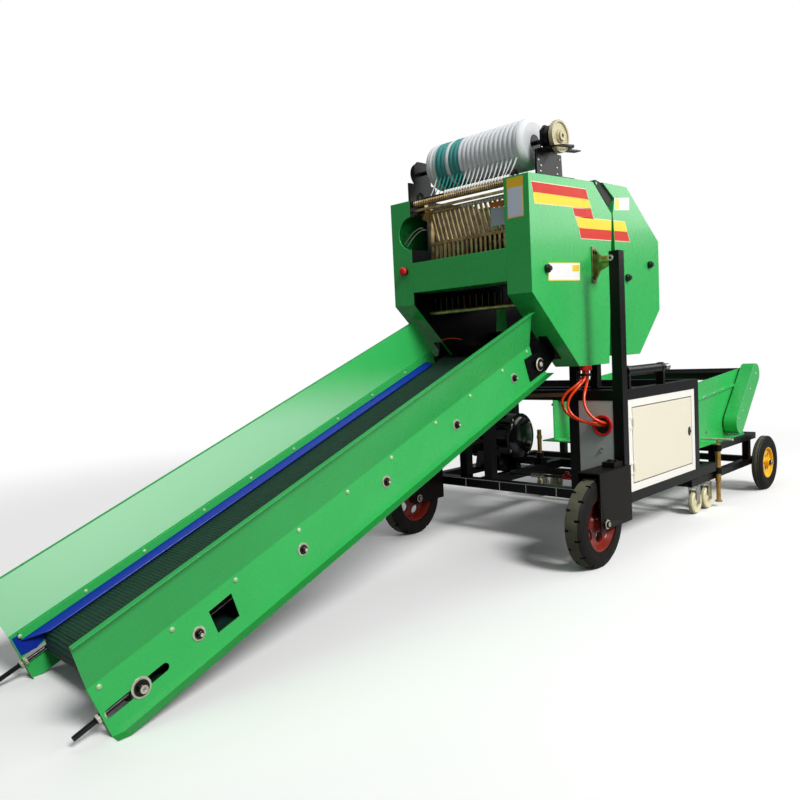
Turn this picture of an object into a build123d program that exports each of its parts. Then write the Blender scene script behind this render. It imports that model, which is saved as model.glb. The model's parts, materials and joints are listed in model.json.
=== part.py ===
from build123d import *
import math
import os

# Small round baler for silage: feed belt, baling chamber, net roll, frame on wheels
# and the bale wrapping table behind it.
# Millimetres. Ground z = 0, feed belt toward -Y, control cabinet on the +X side.

os.makedirs("parts", exist_ok=True)

# Clearances
SEAT = 0.3            # gap between curved faces that seat in each other
RUN = 0.3             # radial clearance of pins and shafts that turn
MOVE = 6.0            # gap between a moving piece and a fixed one

# Baling chamber
CHAMBER_W = 560.0     # between the inner plates, takes the bale
HOUSING_T = 130.0     # width of each side housing
SHEET = 4.0           # side plate thickness
CHAMBER_Y = 800.0     # centre of the round chamber
CHAMBER_Z = 1325.0
BALE_R = 282.0        # radius left free inside the rollers
PRESS_R = 38.0        # press roller radius
PRESS_SHAFT_R = 14.0
XI = CHAMBER_W / 2
XH = XI + HOUSING_T

# Fixed half of a side housing, seen from +X: columns y, z
FRONT_SIDE = [
    (0, 1752), (556, 1777), (735, 1640), (668, 896), (378, 896), (0, 1238),
]
# Tailgate half of a side housing: columns y, z
REAR_SIDE = [
    (651, 1785), (900, 1790), (1256, 1535), (1252, 1165), (1003, 932), (805, 931), (745, 1640), (768, 1718),
]
HINGE_Y = 598.0       # tailgate hinge in the gap over the split
HINGE_Z = 1776.0
HINGE_PIN_R = 8.0
HINGE_LUG_R = 17.0
ARM_IN = 60.0         # a hinge arm, from the outer plate
ARM_OUT = 8.0
LUG_T = 20.0          # fixed hinge lug
NOTCH_R = 80.0        # round cut in the far front flange
NOTCH_Z = 1592.0
LIFT_EYE = (90.0, 1776.0)    # lifting eye on each housing: y, z
LIFT_R = 12.0
CAP_R = 19.0          # bearing caps on the outer plates
CAP_T = 25.0
COVER_Z0 = 1298.0     # front cover
COVER_Z1 = 1445.0
COVER_DEPTH = 150.0

# Main frame of square tube
TUBE = 50.0
FRAME_HALF = 600.0    # outer faces of the frame
FRAME_Y0 = 420.0      # front face
FRAME_Y1 = 1275.0     # rear face of the upper frame
TAIL_Y = 1500.0       # rear end of the lower beams
BASE_Z = 245.0        # underside of the lower frame
TOP_Z = 780.0         # top of the upper frame
POST_TOP = 1420.0
INNER_UP_X = 345.0    # inner uprights under the side housings
SPINE_X = -250.0      # inner lengthwise beam
DRIVE_POST_X = -180.0    # upright in front of the motor
MID_CROSS_Y = 645.0   # second upper cross beam, under the rear of the fixed half

# Front wheels in box forks
FRONT_R = 200.0
FRONT_W = 86.0
FRONT_X = FRAME_HALF - 45
FRONT_Y = 205.0
FRONT_RIM_R = 126.0
FRONT_AXLE_R = 10.0
BOX_WALL = 6.0
BOX_Y0 = 165.0
BOX_TOP = 430.0
BOX_SKIRT = 172.0     # lower edge of the fork plates
LUG_COUNT = 14
LUG_SLOT_W = 11.0
LUG_SLOT_D = 11.0

# Rear wheels of the wrapping trolley
REAR_R = 172.0
REAR_W = 62.0
REAR_X = FRAME_HALF - 21
REAR_Y = 2360.0
REAR_RIM_R = 98.0
REAR_AXLE_R = 10.0

# Casters
CASTER_R = 66.0
CASTER_W = 34.0
CASTER_TRAIL = 14.0
CASTER_X = FRAME_HALF - 100
CASTER_YS = (1432.0, 1598.0)
CASTER_AXLE_R = 6.0
CASTER_PIN_R = 7.0

# Wrapping trolley
BAR = 40.0
TROLLEY_X = FRAME_HALF - 100
TROLLEY_Z = 165.0     # underside of the lower bars
TROLLEY_Y0 = 1360.0
TROLLEY_Y1 = 2385.0
DECK_Z = 364.0        # top of the upper bars
DECK_Y0 = 1700.0
DECK_T = 8.0
TABLE_X = 420.0       # outer face of the table side walls
TABLE_T = 5.0
TABLE_ROLL_R = 40.0
TABLE_SHAFT_R = 12.0
TABLE_ROLLS = [(1560.0, 660.0), (2440.0, 742.0)]    # columns y, z
CASE_R = 68.0         # chain case end radius
CASE_T = 80.0
CASE_LOW = (2150.0, 448.0)

# Feed conveyor, in its own slope: s up the belt from the tail corner, t across it
CONV_HEAD = 2317.0    # upper edge ends here, short of the housings
HEAD_Y = 191.8
HEAD_RISE = 849.18    # from the tail corner to the head
SLOPE = math.degrees(math.asin(HEAD_RISE / CONV_HEAD))
TAIL_Y0 = HEAD_Y - CONV_HEAD * math.cos(math.radians(SLOPE))
TAIL_Z0 = 8.0
CONV_L = CONV_HEAD + 86      # lower edge of a side panel
LOW_T = -20.0         # height of the lower edge
BEND_T = 160.0        # height of the bend line
TOP_T = 322.0         # height of the top edge
FLARE = 58.0          # how far the upper part leans out
LIP_LOW = 33.0        # lip along the lower edge
LIP_TOP = 17.0        # lip along the top
BELT_HALF = 262.0
BELT_T = 5.0
RIB_H = 4.0
RIB_COUNT = 40
PANEL_T = 3.0
PANEL_X = BELT_HALF + 35     # outer face of the lower web
DRUM_R = 42.0
DRUM_T = 59.0         # height of the drum axes
DRUM_OVER = 8.0       # drums stand past the belt
DRUM_SHAFT_R = 12.0
TAIL_S = 125.0
HEAD_S = CONV_HEAD + 13
HANG_Y0 = 212.0       # the hangers of the head meet the housings here
HANG_Y1 = 330.0
STRIP_T = 5.0         # clamping strip and rubber of a skirt
ROLLER_S = tuple(CONV_HEAD * share for share in (0.147, 0.339, 0.531, 0.729, 0.924))   # support roller axles

# Net roll above the infeed
NET_Y = 220.0
NET_Z = 1930.0
NET_R = 115.0
NET_X0 = -268.0
NET_X1 = 310.0
NET_BORE = 38.0
SPINDLE_R = 10.0
STAND_X = XH - 30     # middle of the two net uprights
STAND_T = 10.0
HAND_DISC_R = 72.0    # disc on the end of the spindle

# Cabinet beside the frame
CAB_X0 = 372.0
CAB_X1 = FRAME_HALF - 2
CAB_WALL = 3.0
RIM_W = 36.0          # visible rim round the door leaf
LEAF_GAP = 5.0
LEAF_T = 18.0
DOOR_HINGE_X = CAB_X1 + 6


def box(x0, x1, y0, y1, z0, z1):
    lo = (min(x0, x1), min(y0, y1), min(z0, z1))
    size = (abs(x1 - x0), abs(y1 - y0), abs(z1 - z0))
    return Pos(*lo) * Box(*size, align=(Align.MIN, Align.MIN, Align.MIN))


def plate_x(points, x0, x1):
    """Outline in y, z, as thick as x0 to x1."""
    face = Plane.YZ.offset(min(x0, x1)) * Polygon(*points, align=None)
    return extrude(face, amount=abs(x1 - x0), dir=(1, 0, 0))


def plate_z(points, z0, z1):
    """Outline in x, y, as thick as z0 to z1."""
    face = Plane.XY.offset(z0) * Polygon(*points, align=None)
    return extrude(face, amount=z1 - z0, dir=(0, 0, 1))


def plate_y(points, y0, y1):
    """Outline in x, z, as thick as y0 to y1."""
    face = Plane.XZ.offset(-y0) * Polygon(*points, align=None)
    return extrude(face, amount=y1 - y0, dir=(0, 1, 0))


def rod_x(r, x0, x1, y, z):
    return Pos((x0 + x1) / 2, y, z) * Rot(0, 90, 0) * Cylinder(r, abs(x1 - x0))


def rod_y(r, x, y0, y1, z):
    return Pos(x, (y0 + y1) / 2, z) * Rot(90, 0, 0) * Cylinder(r, abs(y1 - y0))


def rod_z(r, x, y, z0, z1):
    return Pos(x, y, (z0 + z1) / 2) * Cylinder(r, abs(z1 - z0))


def ring_x(r, bore, x0, x1, y, z):
    return rod_x(r, x0, x1, y, z) - rod_x(bore, x0 - 1, x1 + 1, y, z)


def hollow(points, x0, x1, wall):
    """Closed housing of sheet: outline in y, z between two faces of x."""
    inner = offset(Polygon(*points, align=None), amount=-wall, kind=Kind.INTERSECTION)
    lo, hi = min(x0, x1), max(x0, x1)
    core = extrude(Plane.YZ.offset(lo + wall) * inner, amount=hi - lo - 2 * wall, dir=(1, 0, 0))
    return plate_x(points, x0, x1) - core


def mirror_x(shape):
    return mirror(shape, about=Plane.YZ)


def slope(shape):
    """Places a shape drawn in the conveyor's own x, s, t."""
    return Pos(0, TAIL_Y0, TAIL_Z0) * Rot(SLOPE, 0, 0) * shape


def at_slope(s, t):
    a = math.radians(SLOPE)
    y = TAIL_Y0 + s * math.cos(a) - t * math.sin(a)
    z = TAIL_Z0 + s * math.sin(a) + t * math.cos(a)
    return y, z


# The origin is on the ground under the middle of the machine's length
TENSION_OUT = 84.0    # how far the tension rods stand out of the tail
TENSION_ROD_R = 6.0
ORIGIN_Y = (REAR_Y + REAR_R + at_slope(-TENSION_OUT, DRUM_T + TENSION_ROD_R)[0]) / 2
print("origin y", round(ORIGIN_Y, 3))


def save(name, *shapes):
    solids = []
    for shape in shapes:
        solids.extend((Pos(0, -ORIGIN_Y, 0) * shape).solids())
    whole = solids[0] if len(solids) == 1 else Compound(children=solids)
    export_step(whole, "parts/" + name + ".step")


def fused(shapes):
    whole = shapes[0]
    for shape in shapes[1:]:
        whole = whole + shape
    return whole


def along(points, i, y):
    """Height of the outline's edge after point i, at this y."""
    (y0, z0), (y1, z1) = points[i], points[i + 1]
    return z0 + (z1 - z0) * (y - y0) / (y1 - y0)


def housing_top(y):
    return along(FRONT_SIDE, 0, y)


def housing_slope(y):
    return along(FRONT_SIDE, 4, y)


# Side housings of the fixed half
def front_housing(side):
    shell = hollow(FRONT_SIDE, XI, XH, SHEET)
    lug_x = XH - ARM_IN - MOVE
    lug = plate_x([(548, 1772), (640, 1702), (HINGE_Y + 14, HINGE_Z - 8), (HINGE_Y, HINGE_Z + 8)], lug_x - LUG_T, lug_x)
    lug = lug + rod_x(HINGE_LUG_R, lug_x - LUG_T, lug_x, HINGE_Y, HINGE_Z)
    pin = rod_x(HINGE_PIN_R, lug_x - LUG_T, XH - ARM_OUT / 2, HINGE_Y, HINGE_Z)
    shell = shell + lug + pin
    eye_y, eye_z = LIFT_EYE
    eye = box(XI, XI + 8, eye_y - 26, eye_y + 26, 1730, eye_z) + rod_x(26, XI, XI + 8, eye_y, eye_z)
    shell = shell + (eye - rod_x(LIFT_R, XI - 1, XI + 9, eye_y, eye_z))
    if side < 0:
        shell = mirror_x(shell)
        cut = Pos(-XI, 60, NOTCH_Z) * Rot(90, 0, 0) * Cylinder(NOTCH_R, 130)
        shell = shell - cut
    return shell


save("housing_near", front_housing(1))
save("housing_far", front_housing(-1))

# Tailgate housings, and the arms that hang them on the hinge pins
gate = hollow(REAR_SIDE, XI, XH, SHEET)
save("tailgate_sides", gate, mirror_x(gate))


def hinge_arm():
    x0, x1 = XH - ARM_IN, XH - ARM_OUT
    tip, kink = REAR_SIDE[0], REAR_SIDE[-1]
    blade = plate_x([(HINGE_Y + 5, HINGE_Z - 15), (HINGE_Y + 120, HINGE_Z - 102), kink, tip, (HINGE_Y + 2, HINGE_Z + 16)], x0, x1)
    blade = blade + rod_x(HINGE_LUG_R, x0, x1, HINGE_Y, HINGE_Z)
    return blade - rod_x(HINGE_PIN_R + RUN, x0 - 1, x1 + 1, HINGE_Y, HINGE_Z)


arm = hinge_arm()
save("hinge_arms", arm, mirror_x(arm))

# Press rollers: angle of each round the chamber, from +Y toward +Z
FIXED_ROLLS = (112, 136, 160, 184, 238)
GATE_ROLLS = (84, 60, 36, 12, -12, -36, -58, -80)


def press_roll(angle):
    r = BALE_R + PRESS_R
    y = CHAMBER_Y + r * math.cos(math.radians(angle))
    z = CHAMBER_Z + r * math.sin(math.radians(angle))
    body = rod_x(PRESS_R, -XI + 8, XI - 8, y, z)
    return body + rod_x(PRESS_SHAFT_R, -XI, XI, y, z)


save("press_rollers", *[press_roll(a) for a in FIXED_ROLLS])
save("tailgate_rollers", *[press_roll(a) for a in GATE_ROLLS])

# Bearing caps on the outer plates: columns y, z
FIXED_CAPS = [(119, 1344)]
GATE_CAPS = [(876, 1327), (1133, 1405)]


def cap(y, z):
    body = rod_x(CAP_R, XH, XH + CAP_T * 0.6, y, z)
    return body + rod_x(CAP_R * 0.6, XH + CAP_T * 0.6, XH + CAP_T, y, z)


caps = [cap(y, z) for y, z in FIXED_CAPS]
save("bearing_caps", *caps, *[mirror_x(c) for c in caps])
caps = [cap(y, z) for y, z in GATE_CAPS]
save("tailgate_caps", *caps, *[mirror_x(c) for c in caps])

# Front cover between the housings, with its shelves
cover = box(-XI, XI, 0, SHEET, COVER_Z0, COVER_Z1)
for z in (COVER_Z0, COVER_Z1 - SHEET):
    cover = cover + box(-XI, XI, SHEET, COVER_DEPTH, z, z + SHEET)
save("front_cover", cover)

# Net feeder: cast bracket, framed panel of leaning slats, row of upright slats
FEED_X = -246.0       # left edge of the slat panel
FEED_Y = 100.0
FEED_TOP = 1706.0
FEED_MID = 1546.0
FEED_RAIL = 14.0
FEED_DEPTH = 24.0
SLAT_PITCH = 27.5
SLAT_W = 13.0
SLAT_T = 10.0
SLAT_LEAN = 40.0
UPPER_SLATS = 17
LOWER_SLATS = 19
BRACKET_TOP = 1750.0
BRACKET_R = 37.0      # hollow under the bracket


def net_feeder():
    y0, y1 = FEED_Y, FEED_Y + FEED_DEPTH
    pieces = [
        box(FEED_X, XI, y0, y1, FEED_TOP - FEED_RAIL, FEED_TOP),
        box(FEED_X, XI, y0, y1, FEED_MID - FEED_RAIL, FEED_MID),
        box(FEED_X, FEED_X + FEED_RAIL, y0, y1, FEED_MID, FEED_TOP),
    ]
    slat_y = y0 + 4
    low = FEED_MID - 1
    high = FEED_TOP - FEED_RAIL + 1
    for i in range(UPPER_SLATS):
        x = FEED_X + 8 + SLAT_PITCH * i
        ends = [(x, high), (x + SLAT_W, high), (x + SLAT_W + SLAT_LEAN, low), (x + SLAT_LEAN, low)]
        pieces.append(plate_y(ends, slat_y, slat_y + SLAT_T))
    for i in range(LOWER_SLATS):
        x = FEED_X + 4 + SLAT_PITCH * i
        pieces.append(box(x, x + SLAT_W, slat_y, slat_y + SLAT_T, COVER_Z1, FEED_MID - FEED_RAIL + 1))
    corner = box(-XI, FEED_X + FEED_RAIL, y0, y1, FEED_TOP - 86, FEED_TOP + 6)
    corner = corner - rod_y(BRACKET_R, FEED_X - BRACKET_R, y0 - 1, y1 + 1, FEED_TOP - 79)
    corner = corner - box(-XI - 1, FEED_X, y0 - 1, y1 + 1, FEED_TOP - 87, FEED_TOP - 79)
    pieces.append(corner)
    pieces.append(box(-XI, -XI + 24, y0 - 14, y0 + 12, FEED_TOP - 42, BRACKET_TOP))
    return fused(pieces)


# Net guide rods at the top front: columns y, z, radius
GUIDE_RODS = [(34, 1736, 13), (30, 1702, 7), (60, 1748, 8), (84, 1690, 5)]
rods = []
for y, z, r in GUIDE_RODS:
    rods.append(rod_x(r, -XI, XI, y, z))
save("net_feeder", net_feeder() + rods[-1], *rods[:-1])

# Infeed mouth: comb bar with tines, wings, ceiling and floor of the funnel
INFEED_BAR = (120.0, 1196.0)
TINE_COUNT = 14
THROAT_Y = 436.0      # rear end of the funnel
THROAT_T = 4.0
bar = rod_x(11, -XI, XI, *INFEED_BAR)
tines = []
pitch = (2 * XI - 80) / (TINE_COUNT - 1)
for i in range(TINE_COUNT):
    x = -XI + 40 + pitch * i
    tines.append(box(x - 3, x + 3, INFEED_BAR[0] - 5, INFEED_BAR[0] + 5, INFEED_BAR[1], INFEED_BAR[1] + 70))
save("infeed_comb", fused([bar] + tines))

slope_low, slope_high = FRONT_SIDE[4], FRONT_SIDE[5]
wing = plate_x(
    [(SHEET, COVER_Z0), (SHEET, slope_high[1]), (slope_low[0], slope_low[1] + 4), (THROAT_Y, slope_low[1] + 4),
     (THROAT_Y, COVER_Z0 - 90), (COVER_DEPTH + 90, COVER_Z0)],
    XI - THROAT_T, XI)
wing = wing - rod_x(11, XI - 10, XI + 1, *INFEED_BAR)
half_w = XI - THROAT_T
ceiling = plate_x(
    [(COVER_DEPTH - 10, COVER_Z0), (COVER_DEPTH - 10, COVER_Z0 - 5), (THROAT_Y - 4, COVER_Z0 - 90),
     (THROAT_Y - 4, COVER_Z0 - 85), (COVER_DEPTH + 6, COVER_Z0)],
    -half_w, half_w)
head_y, head_z = at_slope(HEAD_S, DRUM_T)
lip_y = head_y + DRUM_R + BELT_T + 4
floor = plate_x(
    [(lip_y, head_z + 40), (lip_y, head_z + 48), (400, 1018), (THROAT_Y - 6, 1018), (THROAT_Y - 6, 1012), (402, 1012)],
    -half_w, half_w)
save("infeed_throat", wing, mirror_x(wing), ceiling, floor)

# Main frame, lower part
def beam_pair(x0, x1, y0, y1, z0, z1):
    return [box(x0, x1, y0, y1, z0, z1), box(-x1, -x0, y0, y1, z0, z1)]


FX0 = FRAME_HALF - TUBE
BASE_TOP = BASE_Z + TUBE
base = beam_pair(FX0, FRAME_HALF, FRAME_Y0, TAIL_Y, BASE_Z, BASE_TOP)
for y in (FRAME_Y0, FRAME_Y1 - TUBE, TAIL_Y - TUBE):
    base.append(box(-FX0, FX0, y, y + TUBE, BASE_Z, BASE_TOP))
base.append(box(SPINE_X - TUBE / 2, SPINE_X + TUBE / 2, FRAME_Y0 + TUBE, FRAME_Y1 - TUBE, BASE_Z, BASE_TOP))
save("frame_base", fused(base))

# Main frame, upper part with its uprights
RAIL_Z = TOP_Z - TUBE
top = beam_pair(FX0, FRAME_HALF, FRAME_Y0 + TUBE, FRAME_Y1, RAIL_Z, TOP_Z)
for y in (FRAME_Y0, MID_CROSS_Y - TUBE / 2, FRAME_Y1 - TUBE):
    top.append(box(-FX0, FX0, y, y + TUBE, RAIL_Z, TOP_Z))
top += beam_pair(FX0, FRAME_HALF, FRAME_Y1 - TUBE, FRAME_Y1, BASE_TOP, RAIL_Z)
half = TUBE / 2
top += beam_pair(INNER_UP_X - half, INNER_UP_X + half, FRAME_Y0, FRAME_Y0 + TUBE, BASE_TOP, RAIL_Z)
FEET_Y = (FRAME_Y0 + half, MID_CROSS_Y)
top.append(box(DRIVE_POST_X - half, DRIVE_POST_X + half, FRAME_Y0, FRAME_Y0 + TUBE, BASE_TOP, RAIL_Z))
for y in FEET_Y:
    top += beam_pair(INNER_UP_X - 20, INNER_UP_X + 20, y - 20, y + 20, TOP_Z, 896)
save("frame_top", fused(top))

# Tall side posts and the brackets that tie the chamber to them
post = box(FX0, FRAME_HALF, FRAME_Y0, FRAME_Y0 + TUBE, BASE_TOP, POST_TOP)
save("side_posts", post, mirror_x(post))

BOSS_Z = 1387.0
BOSS_R = 17.0
POST_Y = FRAME_Y0 + TUBE / 2
HORN_Y = 544.0        # gusset of a bracket
HORN_T = 12.0
FOOT_Z0 = 1290.0
FOOT_Z1 = 1464.0


def post_bracket():
    y1 = HORN_Y + HORN_T / 2
    span = FX0 - XH
    foot = box(XH, XH + 8, y1 - 34, y1 + 2, FOOT_Z0, FOOT_Z1)
    bend, neck, end = XH + 0.25 * span, XH + 0.63 * span, XH + 0.82 * span
    horn = plate_y([(XH, FOOT_Z0), (XH, FOOT_Z1), (bend, BOSS_Z + 34), (neck, BOSS_Z + 15), (end, BOSS_Z + 12),
                    (end, BOSS_Z - 12), (neck, BOSS_Z - 15), (bend, BOSS_Z - 38)], y1 - HORN_T, y1)
    boss = rod_x(BOSS_R, neck, FX0, POST_Y, BOSS_Z)
    tie = box(neck, end, POST_Y, y1, BOSS_Z - 12, BOSS_Z + 12)
    return foot + horn + boss + tie


bracket = post_bracket()
save("post_brackets", bracket, mirror_x(bracket))

# Wheel boxes: inverted U forks in front of the frame
def wheel_box():
    x0 = FRONT_X - FRONT_W / 2 - 8 - BOX_WALL
    x1 = FRONT_X + FRONT_W / 2 + 8 + BOX_WALL
    y1 = FRAME_Y0
    side_out = box(x1 - BOX_WALL, x1, BOX_Y0, y1 + 36, BOX_SKIRT, BOX_TOP)
    side_in = box(x0, x0 + BOX_WALL, BOX_Y0, y1, BOX_SKIRT, BOX_TOP)
    roof = box(x0, x1, BOX_Y0, y1, BOX_TOP - BOX_WALL, BOX_TOP)
    back = box(x0, x1, y1 - BOX_WALL, y1, BOX_SKIRT, BOX_TOP)
    step = box(FX0 - 20, FRAME_HALF - 8, y1 - 84, y1, BOX_TOP, BOX_TOP + 24)
    fork = side_out + side_in + roof + back + step
    for x in (x0 - 8, x1):
        fork = fork + rod_x(19, x, x + 8, FRONT_Y, FRONT_R)
    axle = rod_x(FRONT_AXLE_R, x0 - 14, x1 + 18, FRONT_Y, FRONT_R)
    return fork + axle


fork = wheel_box()
save("wheel_boxes", fork, mirror_x(fork))


# Front wheels: solid tyre with shoulder slots, spoked rim
def front_tyre(side):
    r0, r1, w = FRONT_RIM_R + SEAT, FRONT_R, FRONT_W / 2
    profile = [(-w, r0), (-w - 0, r0 + 30), (-w + 4, r1 - 14), (-w + 14, r1), (w - 14, r1), (w - 4, r1 - 14), (w, r0 + 30), (w, r0)]
    ring = revolve(Plane.XY * Polygon(*profile, align=None), axis=Axis.X)
    cuts = []
    for i in range(LUG_COUNT):
        for k, shift in ((1, 0.0), (-1, 0.5)):
            slot = box(0, 34, -LUG_SLOT_W / 2, LUG_SLOT_W / 2, r1 - LUG_SLOT_D, r1 + 5)
            slot = Pos(k * (w - 30) if k > 0 else -w - 4, 0, 0) * slot
            cuts.append(Rot((i + shift) * 360 / LUG_COUNT, 0, 0) * slot)
    return Pos(side * FRONT_X, FRONT_Y, FRONT_R) * (ring - cuts)


def front_rim(side):
    w = FRONT_W / 2 - 6
    r = FRONT_RIM_R
    half = [(-w, r), (w, r), (w, r - 9), (w - 8, r - 14), (14, r - 24), (4, 44), (14, 34), (FRONT_W / 2, 30),
            (FRONT_W / 2, FRONT_AXLE_R + RUN), (-FRONT_W / 2, FRONT_AXLE_R + RUN), (-FRONT_W / 2, 30), (-14, 34),
            (-8, 44), (0, r - 24), (-w + 8, r - 14), (-w, r - 9)]
    wheel = revolve(Plane.XY * Polygon(*half, align=None), axis=Axis.X)
    for i in range(5):
        hole = extrude(Plane.YZ.offset(-30) * (Rot(0, 0, i * 72) * Pos(74, 0) * SlotOverall(56, 44, rotation=90)), amount=60)
        wheel = wheel - hole
    return Pos(side * FRONT_X, FRONT_Y, FRONT_R) * (wheel if side > 0 else mirror_x(wheel))


for side, name in ((1, "near"), (-1, "far")):
    save("front_tyre_" + name, front_tyre(side))
    save("front_rim_" + name, front_rim(side))


# Rear wheels of the trolley
def rear_tyre(side):
    r0, r1, w = REAR_RIM_R + SEAT, REAR_R, REAR_W / 2
    profile = [(-w + 8, r0), (-w, r0 + 28), (-w + 3, r1 - 16), (-w + 14, r1), (w - 14, r1), (w - 3, r1 - 16), (w, r0 + 28), (w - 8, r0)]
    ring = revolve(Plane.XY * Polygon(*profile, align=None), axis=Axis.X)
    for x in (-10, 10):
        groove = ring_x(r1 + 2, r1 - 5, x - 2, x + 2, 0, 0)
        ring = ring - groove
    return Pos(side * REAR_X, REAR_Y, REAR_R) * ring


def rear_rim(side):
    w = REAR_W / 2 - 9
    rim = ring_x(REAR_RIM_R, REAR_RIM_R - 8, -w, w, 0, 0)
    disc = rod_x(REAR_RIM_R - 4, -5, 5, 0, 0)
    hub = rod_x(24, -REAR_W / 2, REAR_W / 2, 0, 0)
    wheel = rim + disc + hub
    for i in range(4):
        hole = Rot(i * 90 + 45, 0, 0) * (Pos(0, 0, 58) * Rot(0, 90, 0) * Cylinder(16, 40))
        wheel = wheel - hole
    wheel = wheel - rod_x(REAR_AXLE_R + RUN, -100, 100, 0, 0)
    return Pos(side * REAR_X, REAR_Y, REAR_R) * wheel


for side, name in ((1, "near"), (-1, "far")):
    save("rear_tyre_" + name, rear_tyre(side))
    save("rear_rim_" + name, rear_rim(side))

# Trolley frame with its axle stubs, caster plates and deck bars
tx0, tx1 = TROLLEY_X - BAR / 2, TROLLEY_X + BAR / 2
trolley = beam_pair(tx0, tx1, TROLLEY_Y0, TROLLEY_Y1, TROLLEY_Z, TROLLEY_Z + BAR)
for y in (TROLLEY_Y0, DECK_Y0, TROLLEY_Y1 - BAR):
    trolley.append(box(-tx0, tx0, y, y + BAR, TROLLEY_Z, TROLLEY_Z + BAR))
trolley += beam_pair(tx0, tx1, DECK_Y0, TROLLEY_Y1, DECK_Z - BAR, DECK_Z)
for y in (DECK_Y0, TROLLEY_Y1 - BAR):
    trolley.append(box(-tx0, tx0, y, y + BAR, DECK_Z - BAR, DECK_Z))
for y in (DECK_Y0, 2250):
    trolley += beam_pair(tx0, tx1, y, y + BAR, TROLLEY_Z + BAR, DECK_Z - BAR)
trolley += beam_pair(tx0, tx1, TAIL_Y - TUBE, TAIL_Y, TROLLEY_Z + BAR, BASE_Z)
trolley_frame = fused(trolley)
for side in (1, -1):
    end = side * (REAR_X + REAR_W / 2 + 16)
    trolley_frame = trolley_frame + rod_x(REAR_AXLE_R, side * (tx1 - 5), end, REAR_Y, REAR_R)
    nut = side * (REAR_X + REAR_W / 2 + 2)
    trolley_frame = trolley_frame + rod_x(REAR_AXLE_R + 6, nut, nut + side * 9, REAR_Y, REAR_R)
    for y in CASTER_YS:
        trolley_frame = trolley_frame - rod_z(CASTER_PIN_R + RUN, side * CASTER_X, y, TROLLEY_Z - 1, TROLLEY_Z + 22)
save("trolley_frame", trolley_frame)


# Casters: fork on a kingpin, cream wheel
def caster_fork(side, y):
    top = TROLLEY_Z - 0.5
    yw = CASTER_TRAIL
    fork = rod_z(26, 0, 0, top - 10, top)
    fork = fork + rod_z(CASTER_PIN_R, 0, 0, top, top + 18)
    fork = fork + box(-CASTER_W / 2 - 7, CASTER_W / 2 + 7, -20, 34, top - 14, top - 8)
    for k in (-1, 1):
        x = k * (CASTER_W / 2 + 5)
        leg = plate_x([(-20, top - 9), (34, top - 9), (yw + 13, CASTER_R - 10), (yw - 13, CASTER_R - 10)], x - 2, x + 2)
        fork = fork + leg
    fork = fork + rod_x(CASTER_AXLE_R, -CASTER_W / 2 - 9, CASTER_W / 2 + 9, yw, CASTER_R)
    return Pos(side * CASTER_X, y, 0) * fork


def caster_wheel(side, y):
    w = CASTER_W / 2
    r = CASTER_R
    profile = [(-w, CASTER_AXLE_R + RUN), (-w, 20), (-w + 5, 24), (-w + 5, r - 14), (-w + 2, r - 8), (-w + 9, r), (w - 9, r), (w - 2, r - 8), (w - 5, r - 14), (w - 5, 24), (w, 20), (w, CASTER_AXLE_R + RUN)]
    wheel = revolve(Plane.XY * Polygon(*profile, align=None), axis=Axis.X)
    return Pos(side * CASTER_X, y + CASTER_TRAIL, CASTER_R) * wheel


for side, name in ((1, "near"), (-1, "far")):
    for row, y in zip(("a", "b"), CASTER_YS):
        save("caster_fork_" + name + "_" + row, caster_fork(side, y))
        save("caster_wheel_" + name + "_" + row, caster_wheel(side, y))


# Wrapping table: deck plate, two side walls with a fold, chain case and rollers
def table():
    half_w = TROLLEY_X
    deck = box(-half_w, half_w, DECK_Y0 - 240, 2330, DECK_Z, DECK_Z + DECK_T)
    corners = deck.edges().filter_by(Axis.Z).sort_by(Axis.Y)[-2:]
    deck = fillet(corners, 110)
    low = DECK_Z + DECK_T
    x1 = TABLE_X
    wall = plate_x([(1470, low), (2175, low), (2345, 684), (1470, 607)], x1 - TABLE_T, x1)
    lean = 14.0
    flap = plate_x([(1470, 607), (2345, 684), (2505, 790), (1470, 712)], x1 - TABLE_T, x1)
    wall = wall + flap
    foot = box(x1 - 34, x1, 1470, 2160, low, low + 5)
    rib = plate_x([(1470, 600), (1470, 614), (2340, 691), (2340, 677)], x1, x1 + 10)
    wall = wall + foot + rib
    for y, z in TABLE_ROLLS:
        wall = wall + rod_x(30, x1 - TABLE_T, x1 + 8, y, z)
        wall = wall - rod_x(TABLE_SHAFT_R + RUN, x1 - 40, x1 + 40, y, z)
    return deck + wall + mirror_x(wall)


save("wrap_table", table())


def chain_case():
    y0, z0 = CASE_LOW
    y1, z1 = TABLE_ROLLS[1]
    x0 = TABLE_X + 10
    x1 = x0 + CASE_T
    a = math.degrees(math.atan2(z1 - z0, y1 - y0))
    length = math.hypot(z1 - z0, y1 - y0)
    mid = (x0 + CASE_T / 2, (y0 + y1) / 2, (z0 + z1) / 2)
    slab = extrude(Plane.YZ * (Rot(0, 0, a) * SlotCenterToCenter(length, 2 * CASE_R)), amount=CASE_T / 2, both=True)
    case = Pos(*mid) * slab
    case = case - rod_x(TABLE_SHAFT_R + 4, x0 - 5, x1 - 20, y1, z1)
    return case


save("chain_case", chain_case())


def table_roller(index):
    y, z = TABLE_ROLLS[index]
    body = rod_x(TABLE_ROLL_R, -TABLE_X + TABLE_T + MOVE, TABLE_X - TABLE_T - MOVE, y, z)
    return body + rod_x(TABLE_SHAFT_R, -TABLE_X - 14, TABLE_X + 14, y, z)


save("table_roller_front", table_roller(0))
save("table_roller_rear", table_roller(1))

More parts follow.
